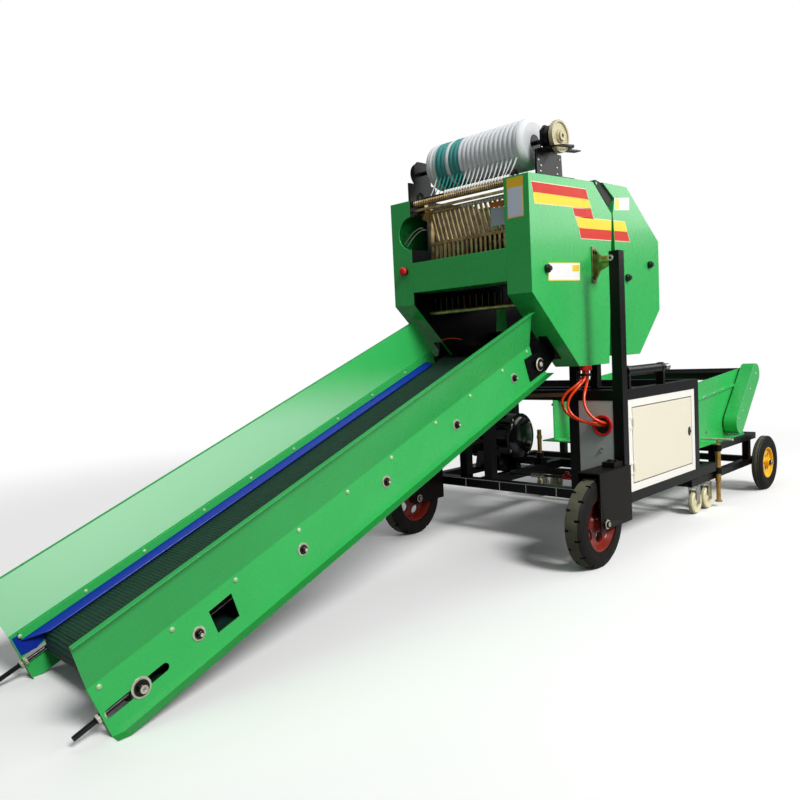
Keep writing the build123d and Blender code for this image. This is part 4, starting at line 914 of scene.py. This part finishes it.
# Outlines of the blank labels: y, z on the chamber's side and x, z on its front
NEAR_LABEL = [(0.131, 1.291), (0.406, 1.299), (0.411, 1.384), (0.137, 1.371)]
NEAR_MARK = [(0.338, 1.340), (0.400, 1.343), (0.402, 1.373), (0.340, 1.370)]
GATE_LABEL = [(0.764, 1.661), (0.922, 1.676), (0.926, 1.740), (0.768, 1.721)]
GATE_MARK = [(0.770, 1.666), (0.812, 1.670), (0.816, 1.722), (0.774, 1.717)]
FRONT_LABEL = [(0.296, 1.569), (0.380, 1.569), (0.382, 1.744), (0.298, 1.744)]
FRONT_FIELD = [(0.301, 1.574), (0.375, 1.574), (0.377, 1.700), (0.303, 1.700)]
FEEDER_FIELD = [(0.134, 1.569), (0.211, 1.569), (0.209, 1.650), (0.134, 1.654)]
FEEDER_HEAD = [(0.134, 1.656), (0.209, 1.652), (0.208, 1.680), (0.134, 1.680)]
FEEDER_Y = 0.1035
STOP_BUTTON = (-0.329, 0.0, 1.408)


class BALER_OT_plates(bpy.types.Operator):
    """Stripes and bare label plates on the chamber"""

    bl_idname = "baler.plates"
    bl_label = "Stripes and plates"

    def execute(self, context):
        f = finishes()
        for key, colour in (("red", f.stripe_red), ("yellow", f.stripe_yellow), ("outline", f.outline)):
            thick = 0.0005 if key == "outline" else 0.0009
            quads = [quad for name, quad in STRIPES if key in (name, "outline")]
            if key == "outline":
                quads = [grown(quad, 0.0035) for quad in quads]
            for body, side in (("frame", -1), ("tailgate", 1)):
                films = [on_body(quad, side) for quad in quads]
                made = total(film_x(film, thick) for film in films if len(film) > 2)
                make_piece(f"stripes_{key}_{body}", made.paired(), colour, body)
        for name, film, colour, body in (
            ("near_edge", film_x(NEAR_LABEL, 0.0004), f.label_yellow, "frame"),
            ("near_field", film_x(grown(NEAR_LABEL, -0.004), 0.0007), f.card, "frame"),
            ("near_mark", film_x(NEAR_MARK, 0.0010), f.label_yellow, "frame"),
            ("gate_field", film_x(GATE_LABEL, 0.0004), f.card, "tailgate"),
            ("gate_mark", film_x(GATE_MARK, 0.0008), f.label_yellow, "tailgate"),
            ("front_edge", film_y(FRONT_LABEL, 0.0, 0.0004), f.label_gold, "frame"),
            ("front_field", film_y(FRONT_FIELD, 0.0, 0.0008), f.label_blue, "frame"),
            ("feeder_field", film_y(FEEDER_FIELD, FEEDER_Y, 0.003), f.label_blue, "frame"),
            ("feeder_head", film_y(FEEDER_HEAD, FEEDER_Y, 0.003), f.label_orange, "frame"),
        ):
            make_piece("label_" + name, film, colour, body)
        # Stop button on the far flange
        knob = lathe([
            (0.012, 0.004), (0.012, 0.012), (0.021, 0.014), (0.023, 0.020), (0.019, 0.027), (0.010, 0.031),
        ], 32)
        collar = disc(0.019, 0, 0.006, 28).aimed(at(*STOP_BUTTON), FORE)
        make_piece("stop_collar", collar, f.black_plastic, bevel=0.0006)
        make_piece("stop_button", knob.aimed(at(*STOP_BUTTON), FORE), f.red, smooth=50)
        return {"FINISHED"}


class BALER_OT_net(bpy.types.Operator):
    """Wound net with its ridges, and the strands that run down to the feeder"""

    bl_idname = "baler.net"
    bl_label = "Net"

    def execute(self, context):
        f = finishes()
        low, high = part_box("net_roll")
        ridges = context.scene.baler_sizes.net_ridges
        roll = net_roll(low.x, high.x, NET_RADIUS, NET_BORE, ridges).aimed((0, NET_Y, NET_Z))
        piece = make_piece("net_wound", roll, f.net, "net_roll", smooth=50)
        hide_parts("net_roll")
        places = low.x + (high.x - low.x) / ridges * (np.arange(2, ridges - 1) + 0.5)
        teal = (places > -0.20) & (places < -0.03)
        make_piece("net_strands", total(net_strand(x) for x in places[~teal]), f.strand)
        make_piece("net_strands_teal", total(net_strand(x) for x in places[teal]), f.strand_teal)
        return {"FINISHED"}


def net_roll(start, end, radius, bore, ridges):
    """Ring about the roll's axis: r = radius - 4.5 mm times a high power of a cosine of the way along,
    with rounded shoulders, closed by its two end faces and its bore."""
    way = np.linspace(0, 1, ridges * 10 + 1)
    edge = np.minimum(way, 1 - way) * (end - start)
    shoulder = 0.020 * np.clip(1 - edge / 0.030, 0, 1) ** 2
    r = radius - 0.0045 * np.cos(np.pi * ridges * way) ** 4 * (edge > 0.03) - shoulder
    profile = np.stack([r, start + (end - start) * way], 1)
    return lathe(np.concatenate([profile, [(bore, end), (bore, start)]]), 96, True)


def net_strand(x):
    """Gathered net: a flat oval swept from the roll's front down to the spreader, 12 mm wide at first
    and 4 mm at its end."""
    way = np.linspace(0, 1, 7)[:, None]
    y = np.linspace(NET_Y - 0.0930, FRONT + SPREADER[0], 7)[:, None]
    z = np.linspace(NET_Z - 0.0670, SPREADER[1], 7)[:, None]
    x = x - 0.016 * way * (x > 0.24) + 0.004 * np.sin(np.pi * way)
    turn = circle(1.0, 8)
    width = 0.0060 - 0.0040 * way
    return grid(np.stack(np.broadcast_arrays(x + width * turn[:, 0], y + 0.0012 * turn[:, 1], z), -1))


# Bolts of the net stand: y, z on an upright, angles round its bearing, and distances along the shelf
UPRIGHT_BOLTS = (
    (0.124, 1.827), (0.143, 1.803), (0.141, 1.778), (0.276, 1.811), (0.278, 1.781), (0.300, 1.850))
BEARING_BOLTS = (0.8, 2.35, 3.95, 5.5)
SHELF_BOLTS = (0.012, 0.056, 0.128, 0.200, 0.270, 0.325)
SHELF_CORNER = (0.398, 0.121, 1.870)
SHELF_THICK = 0.006
WIRE_START = (-0.352, 0.030, 1.548)
WIRE_SHIFTS = ((0.0, 0.0), (0.018, -0.012))


class BALER_OT_feeder(bpy.types.Operator):
    """Ribs, spreader rings, beads and wires of the net feeder, and the net stand's bolts"""

    bl_idname = "baler.feeder"
    bl_label = "Net feeder fittings"

    def execute(self, context):
        f = finishes()
        rib = lathe([(0.0125, 0), (0.0148, 0.0015), (0.0148, 0.0048), (0.0125, 0.0063)], 24)
        tooth = lathe([
            (0.0075, 0), (0.0165, 0.0015), (0.0175, 0.0045), (0.0165, 0.0075), (0.0075, 0.009)], 12)
        bead = lathe([(0.0045, 0), (0.0085, 0.002), (0.0085, 0.009), (0.0045, 0.011)], 14)
        ribs = repeated(rib, [at(x, *GUIDE) for x in np.arange(-0.274, 0.268, 0.0115)])
        rings = repeated(tooth, [at(x, *SPREADER) for x in np.arange(-0.105, 0.268, 0.0165)])
        bar = rod(at(-0.262, *SPREADER), at(0.278, *SPREADER), 0.0055)
        beads = repeated(bead, [at(x, *BEADS) for x in np.arange(-0.02, 0.26, 0.0175)])
        make_piece("guide_ribs", ribs, f.zinc, smooth=40)
        make_piece("spreader_rings", rings, f.bead, smooth=30)
        make_piece("spreader_rod", bar, f.dark_steel)
        make_piece("spreader_beads", beads, f.bead, smooth=40)
        # Wires that hang from the black opening
        way = np.linspace(0, 1, 12)
        path = np.stack([0.085 * way, 0.05 * way, 0.075 * np.sin(way * 1.75)], 1) + at(*WIRE_START)
        wires = total(sweep(path + (shift, 0, lift), circle(0.0022, 8)) for shift, lift in WIRE_SHIFTS)
        make_piece("notch_wires", wires, f.tin)
        # Bolts of the net stand, on both uprights and on the shelf
        face = repeated(dome_bolt(0.0062), [at(STAND_FACE, y, z) for y, z in UPRIGHT_BOLTS])
        bearing = repeated(hex_bolt(0.006), around((STAND_FACE + 0.024, NET_Y, NET_Z), 0.045, BEARING_BOLTS))
        make_piece("stand_bolts", (face + bearing).paired(), f.tin)
        back = np.array([0, math.cos(SHELF_TILT), math.sin(SHELF_TILT)])
        square = np.array([0, -math.sin(SHELF_TILT), math.cos(SHELF_TILT)])
        shelf = [at(*SHELF_CORNER) + d * back + SHELF_THICK * square for d in SHELF_BOLTS]
        make_piece("shelf_bolts", repeated(hex_bolt(0.0065), shelf, square, OUT), f.tin)
        # Hub of the hand disc
        hub = ring(0.0092, 0.0215, 0, 0.0012, 32).aimed((DISC_FACE, NET_Y, NET_Z))
        bore = disc(0.0087, 0, 0.0004, 24).aimed((DISC_FACE - 0.021, NET_Y, NET_Z))
        make_piece("disc_hub", hub, f.cream_rim, body_of("net_spindle"))
        make_piece("disc_bore", bore, f.black_plastic, body_of("net_spindle"))
        return {"FINISHED"}


# Small fittings, y from the chamber's front
CABINET_SCREW = (0.487, 0.422, 0.496)
BEAM_MARKS = (-0.335, -0.110, 0.055, 0.233)
BEAM_TAPE = [(0.087, 0.742), (0.307, 0.748), (0.307, 0.768), (0.087, 0.760)]
FILLER = (-0.25, 1.035)
PIPE_Y = 0.700
JACK_CLAMPS = (0.196, 0.330)
HOSE_TIE = (0.396, 0.4555, 0.846)


class BALER_OT_base(bpy.types.Operator):
    """Small fittings on the frame, the cabinet and its lock, the motor and the pipe work"""

    bl_idname = "baler.base"
    bl_label = "Frame and cabinet fittings"

    def execute(self, context):
        f = finishes()
        make_piece("cabinet_screw", hex_bolt(0.0085).aimed(at(*CABINET_SCREW), FORE), f.tin)
        low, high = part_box("door_lock")
        middle = (low + high) / 2
        door = body_of("cabinet_door")
        oval = prism(circle(1.0, 32) * (0.0165, 0.024), 0.002)
        plate = oval.turned(basis(OUT)[:, [1, 0, 2]], (low.x + 0.0001, middle.y, middle.z))
        plug = ring(0.0058, 0.0102, 0, 0.0013, 24).aimed((low.x + 0.005, middle.y, middle.z))
        make_piece("lock_plate", plate, f.black_plastic, door, bevel=0.0005)
        make_piece("lock_plug", plug, f.tin, door)
        # Pale marks on the front lower beam, and a pale strip along its top edge that is a painted highlight
        marks = [rect(x - 0.0022, x + 0.0022, BEAM_LOW + 0.002, BEAM_TOP - 0.002) for x in BEAM_MARKS]
        marks = [film_y(mark, BEAM_Y, 0.0005) for mark in marks]
        # Painted highlight: a pale strip just under the beam's top edge
        marks.append(film_y(rect(-0.545, 0.545, BEAM_TOP - 0.005, BEAM_TOP - 0.002), BEAM_Y, 0.0004))
        make_piece("beam_marks_and_painted_highlight", total(marks), f.chalk)
        # Filler neck on the spine, with its foot
        neck = lathe([
            (0.013, 0), (0.013, 0.085), (0.016, 0.088), (0.016, 0.104), (0.013, 0.107), (0.013, 0.140)], 28)
        foot = block(at(-0.278, 1.005, 0.295), at(-0.222, 1.065, 0.330))
        foot += disc(0.021, 0, 0.030, 24).moved(at(*FILLER, 0.329))
        make_piece("filler_neck", neck.moved(at(*FILLER, 0.357)), f.brass, bevel=0.0005)
        make_piece("filler_foot", foot, f.black, bevel=0.001)
        # Air pipe from the spine to the cabinet: black pipe, bright sleeve, red tap
        pipe = rod(at(-0.226, PIPE_Y, 0.283), at(0.373, PIPE_Y, 0.300), 0.007)
        sleeve = rod(at(-0.090, PIPE_Y, 0.2867), at(-0.004, PIPE_Y, 0.2893), 0.012, 24)
        tap = rod(at(0.105, PIPE_Y, 0.2925), at(0.155, PIPE_Y, 0.2938), 0.014, 24)
        tap += block(at(0.120, PIPE_Y - 0.010, 0.295), at(0.140, PIPE_Y + 0.010, 0.322))
        make_piece("air_pipe", pipe, f.black_plastic)
        make_piece("air_sleeve", sleeve, f.steel, bevel=0.0005)
        make_piece("air_tap", tap, f.red, bevel=0.001)
        # Motor: cowl screws, the bolts of its terminal box and its end cover
        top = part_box("motor")[1].z
        screws = repeated(hex_bolt(0.007), around(MOTOR, 0.123, np.radians((35, 125, 215, 305))))
        lids = [at(x, y, top) for x in (-0.425, -0.345) for y in (0.752, 0.848)]
        cover = lathe(dome(0.122, 0.030, 9), 48).aimed(MOTOR - 0.006 * OUT)
        make_piece("motor_bolts", screws + repeated(dome_bolt(0.006), lids, UP), f.tin)
        make_piece("motor_dome", cover, f.gloss_black, smooth=50)
        # Sleeve of the pin that ties each bracket to its post
        sleeve = ring(0.0065, 0.0140, 0, 0.008, 28).aimed(POST_PIN, FORE)
        core = disc(0.0065, 0, 0.005, 20).aimed(POST_PIN, FORE)
        make_piece("post_sleeves", sleeve.paired(), f.bright, bevel=0.0005)
        make_piece("post_pins", core.paired(), f.black)
        # Clamps on the jack, and the tan tape on the front upper beam
        low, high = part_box("jack_leg")
        middle = (low + high) / 2
        clamp = ring(0.0163, 0.0225, 0, 0.036, 28)
        clamps = total(clamp.moved((middle.x, middle.y, z)) for z in JACK_CLAMPS)
        make_piece("jack_clamps", clamps, f.black, body_of("jack"), bevel=0.0008)
        make_piece("beam_tape", film_y(BEAM_TAPE, BEAM_Y, 0.0005), f.kraft)
        # Bolts at the frame's feet and brackets
        bracket = repeated(hex_bolt(0.009), [at(0.418, 0.528, z) for z in (1.315, 1.439)])
        step = repeated(hex_bolt(0.009), [at(x, 0.378, 0.454) for x in (0.545, 0.578)], UP)
        make_piece("bracket_bolts", bracket.paired(), f.dark_steel)
        make_piece("step_bolts", step.paired(), f.dark_steel)
        # Oval tie round the hoses
        tie = ring(0.0245, 0.0265, 0, 0.012, 32).turned(np.diag([1.0, 0.86, 1.0]), at(*HOSE_TIE))
        make_piece("hose_tie", tie, f.black_plastic, bevel=0.0004)
        return {"FINISHED"}


class BALER_OT_wheels(bpy.types.Operator):
    """Axle ends, rim bolts and caster bolts, each riding on the body it turns with"""

    bl_idname = "baler.wheels"
    bl_label = "Wheel fittings"

    def execute(self, context):
        f = finishes()
        washer = ring(0.0103, 0.0205, 0, 0.0025, 36)
        nut = lathe([
            (0.0103, 0.0025), (0.0150, 0.0025), (0.0150, 0.0085), (0.0135, 0.0100), (0.0103, 0.0100),
        ], 6, True)
        stud = ring(0.0050, 0.0098, 0.0085, 0.0112, 24)
        for name, surf, material in (
            ("washers", washer, f.bright), ("nuts", nut, f.dark_steel), ("studs", stud, f.bright)
        ):
            ends = surf.aimed(at(0.620, *FRONT_AXLE)) + surf.aimed(at(0.490, *FRONT_AXLE), -OUT)
            make_piece("front_axle_" + name, ends.paired(), material, smooth=20, bevel=0.0004)
        collar = ring(0.0195, 0.0245, 0, 0.003, 32).aimed(at(0.612, *FRONT_AXLE))
        make_piece("front_axle_rings", collar.paired(), f.black_plastic, bevel=0.0004)
        for side, tag in ((1, "near"), (-1, "far")):
            low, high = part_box("rear_rim_" + tag)
            hub = (low + high) / 2
            spots = around((hub.x + side * 0.005, hub.y, hub.z), 0.040, np.radians(np.arange(4) * 90))
            bolts = repeated(hex_bolt(0.007), spots, OUT * side)
            make_piece("rear_hub_bolts_" + tag, bolts, f.tin, body_of("rear_rim_" + tag))
        cap = hex_bolt(0.0125).aimed(at(0.621, *REAR_AXLE))
        make_piece("rear_axle_ends", cap.paired(), f.tin, bevel=0.0004)
        for name in [name for name in NODES if name.startswith("caster_fork")]:
            low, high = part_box(name)
            wheel = sum(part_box(name.replace("fork", "wheel")), low * 0) / 2
            bolt = hex_bolt(0.007)
            outer = bolt.aimed((high.x - 0.0025, wheel.y, wheel.z))
            inner = bolt.aimed((low.x + 0.0025, wheel.y, wheel.z), -OUT)
            make_piece(name + "_bolts", outer + inner, f.tin, body_of(name))
        return {"FINISHED"}


# Bolts of the wrapping table: y and z from the chamber's front
RAIL_BOLTS = [(y, 0.607 + (y - 1.470) * 0.0885) for y in (1.520, 1.792, 1.938, 2.085, 2.231)]
WALL_BOLTS = ((1.520, 0.420), (1.830, 0.420), (2.100, 0.420), (2.185, 0.555))
CASE_BOLTS = ((2.330, 0.647), (2.196, 0.517), (2.118, 0.478), (2.440, 0.742))


class BALER_OT_table(bpy.types.Operator):
    """Bolts of the wrapping table and its chain case"""

    bl_idname = "baler.table"
    bl_label = "Wrapping table fittings"

    def execute(self, context):
        f = finishes()
        rail = repeated(dome_bolt(0.0075), [at(0.430, y, z) for y, z in RAIL_BOLTS])
        wall = repeated(hex_bolt(0.0075), [at(0.420, y, z) for y, z in WALL_BOLTS])
        case = repeated(dome_bolt(0.0075), [at(0.510, y, z) for y, z in CASE_BOLTS])
        deck = repeated(dome_bolt(0.007), [at(0.100 * k, 2.30, 0.372) for k in (-4, -2, 2, 4)], UP)
        make_piece("table_bolts", (rail + wall).paired(), f.tin)
        make_piece("case_bolts", case, f.tin)
        make_piece("deck_bolts", deck, f.dark_steel)
        return {"FINISHED"}


class BALER_OT_hoses(bpy.types.Operator):
    """Three free hoses from the chamber to the cabinet"""

    bl_idname = "baler.hoses"
    bl_label = "Hoses"

    def execute(self, context):
        for name, (length, points) in HOSES.items():
            line = bpy.data.curves.new(name + "_line", "CURVE")
            line.dimensions = "3D"
            line.bevel_depth = HOSE_RADIUS
            line.bevel_resolution = 5
            line.use_fill_caps = True
            spline = line.splines.new("NURBS")
            spline.points.add(len(points) - 1)
            place = np.array(points) * 0.001 + (0, FRONT, 0)
            spline.points.foreach_set("co", np.column_stack([place, np.ones(len(place))]).ravel())
            spline.order_u = 3
            spline.use_endpoint_u = True
            line.materials.append(finishes().hose)
            piece = bpy.data.objects.new(name + "_line", line)
            context.scene.collection.objects.link(piece)
            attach(piece, "frame")
            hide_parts(name)
        return {"FINISHED"}


# Stage
# Soft boxes: place, the way each shines, its two sides and its glow. The first gives the sheen on the plates,
# the second lights the belt's far panel, the third hangs overhead.
SOFT_BOXES = {
    "soft_box_behind": ((2.9, 4.6, 3.17), (-1.9, -3.3, -1.6), (4.4, 2.0), 2.7),
    "soft_box_right": ((3.75, FRONT, 2.1), (-1.0, 0.0, -0.3), (3.2, 1.8), 2.5),
    "soft_box_above": ((-0.6, -0.4, 4.6), (0.1, 0.1, -1.0), (3.4, 4.2), 0.8),
}
SUN_AZIMUTH, SUN_ELEVATION = 82, 42      # degrees, azimuth from the front round to the cabinet side
FLOOR_HALF = 30
FLOOR_DULL = (0.20, 0.20, 0.20, 1.0)     # what the floor throws back
FADE_START, FADE_END = 2.9, 6.0          # the floor turns white between these distances

# Camera fitted to the photograph, whose width and whose offsets are in its pixels
PHOTO_WIDTH, FOCAL, OFF_CENTRE = 800, 746.73, (33.13, 1.35)
SENSOR = 36.0
YAW, PITCH, ROLL = (math.radians(angle) for angle in (45.78, -3.78, -2.96))
VIEW_PLACE = at(2.2332, -2.8108, 1.0158)


class BALER_OT_stage(bpy.types.Operator):
    """Pale floor, soft light and the camera"""

    bl_idname = "baler.stage"
    bl_label = "Stage"

    def execute(self, context):
        scene = context.scene
        stage = scene.baler_stage
        floor(scene, stage)
        world = bpy.data.worlds.new("pale_surroundings")
        scene.world = world
        world.use_nodes = True
        tree = world.node_tree
        tree.nodes.clear()
        seen = add(tree, "LightPath").outputs["Is Camera Ray"]
        dim = add(tree, "Background", {"Color": (0.93, 0.97, 1.0, 1.0), "Strength": stage.sky_strength})
        white = add(tree, "Background", {"Color": WHITE, "Strength": 1.0})
        add(tree, "OutputWorld", {"Surface": add(tree, "MixShader", (seen, dim, white))})

        sun = bpy.data.lights.new("key", "SUN")
        sun.energy = stage.key_strength
        sun.angle = stage.key_angle
        a, e = math.radians(SUN_AZIMUTH), math.radians(SUN_ELEVATION)
        toward = (math.sin(a) * math.cos(e), -math.cos(a) * math.cos(e), math.sin(e))
        placed_lamp(scene, sun, (0, 0, 4), toward)
        for name, (place, aim, size, glow) in SOFT_BOXES.items():
            lamp = bpy.data.lights.new(name, "AREA")
            lamp.shape = "RECTANGLE"
            lamp.size, lamp.size_y = size
            lamp.energy = glow * math.pi * size[0] * size[1]
            placed_lamp(scene, lamp, place, -np.array(aim))

        camera = bpy.data.cameras.new("view")
        camera.sensor_width = SENSOR
        camera.lens = FOCAL / PHOTO_WIDTH * SENSOR
        camera.shift_x, camera.shift_y = (offset / PHOTO_WIDTH for offset in OFF_CENTRE)
        camera.clip_end = 200.0
        ahead = np.array([-math.sin(YAW) * math.cos(PITCH), math.cos(YAW) * math.cos(PITCH), math.sin(PITCH)])
        right = np.array([math.cos(YAW), math.sin(YAW), 0.0])
        up = np.cross(right, ahead)
        level = math.cos(ROLL) * right + math.sin(ROLL) * up
        upright = math.cos(ROLL) * up - math.sin(ROLL) * right
        scene.camera = placed(scene, camera, VIEW_PLACE, [level, upright, -ahead])
        scene.view_settings.view_transform = "Standard"
        return {"FINISHED"}


def floor(scene, stage):
    """A wide square, pale to the camera, white far off, and duller to the light that bounces off it."""
    material, tree, shader, where = surface("matt_studio_floor", Roughness=1.0, Specular_IOR_Level=0.0)
    path = add(tree, "LightPath")
    seen = path.outputs["Is Camera Ray"]
    part = add(tree, "Math", (path.outputs["Is Glossy Ray"], 0.35), operation="MULTIPLY")
    pale = add(tree, "Math", (seen, part), operation="MAXIMUM")
    tone = add(tree, "Mix", {"Factor": pale, "A": FLOOR_DULL, "B": (*stage.floor, 1.0)}, data_type="RGBA")
    feed(shader, {"Base Color": tone})
    away = add(tree, "VectorMath", [where], operation="LENGTH").outputs["Value"]
    fade = add(tree, "MapRange", (away, FADE_START, FADE_END), interpolation_type="SMOOTHSTEP")
    weight = add(tree, "Math", (fade, seen), operation="MULTIPLY")
    glow = add(tree, "Emission", {"Color": WHITE, "Strength": 1.0})
    feed(tree.nodes["Material Output"], {"Surface": add(tree, "MixShader", (weight, shader, glow))})
    mesh = bpy.data.meshes.new("floor")
    corners = rect(-FLOOR_HALF, FLOOR_HALF, -FLOOR_HALF, FLOOR_HALF)
    mesh.from_pydata([(x, y, 0) for x, y in corners], [], [(0, 1, 2, 3)])
    mesh.materials.append(material)
    ground = bpy.data.objects.new("floor", mesh)
    scene.collection.objects.link(ground)


def placed(scene, data, place, axes):
    """A lamp or camera with its three local axes given."""
    thing = bpy.data.objects.new(data.name, data)
    pose = np.eye(4)
    pose[:3, :3] = np.stack(axes, 1)
    pose[:3, 3] = place
    thing.matrix_world = Matrix(pose.tolist())
    scene.collection.objects.link(thing)
    return thing


def placed_lamp(scene, data, place, back):
    """A lamp whose local z points along back, so that it shines the other way, with its local y upward."""
    first, _, axis = basis(back).T
    placed(scene, data, place, [np.cross(first, axis), first, axis])


# Add-on
OPERATORS = (
    BALER_OT_stage, BALER_OT_solids, BALER_OT_belt, BALER_OT_conveyor, BALER_OT_plates, BALER_OT_net,
    BALER_OT_feeder, BALER_OT_base, BALER_OT_wheels, BALER_OT_table, BALER_OT_hoses,
)


class BALER_PT_panel(bpy.types.Panel):
    """Lists the steps that build the baler"""

    bl_idname = "BALER_PT_panel"
    bl_label = "Round Baler"
    bl_space_type = "VIEW_3D"
    bl_region_type = "UI"
    bl_category = "Baler"

    def draw(self, context):
        for operator in OPERATORS:
            self.layout.operator(operator.bl_idname)


CLASSES = (BalerLook, BalerSizes, BalerStage, *OPERATORS, BALER_PT_panel)


def register():
    for cls in CLASSES:
        bpy.utils.register_class(cls)
    bpy.types.Scene.baler_look = PointerProperty(type=BalerLook)
    bpy.types.Scene.baler_sizes = PointerProperty(type=BalerSizes)
    bpy.types.Scene.baler_stage = PointerProperty(type=BalerStage)


def unregister():
    del bpy.types.Scene.baler_stage
    del bpy.types.Scene.baler_sizes
    del bpy.types.Scene.baler_look
    for cls in reversed(CLASSES):
        bpy.utils.unregister_class(cls)


def main():
    register()
    for operator in OPERATORS:
        group, name = operator.bl_idname.split(".")
        getattr(getattr(bpy.ops, group), name)()


if __name__ == "__main__":
    main()
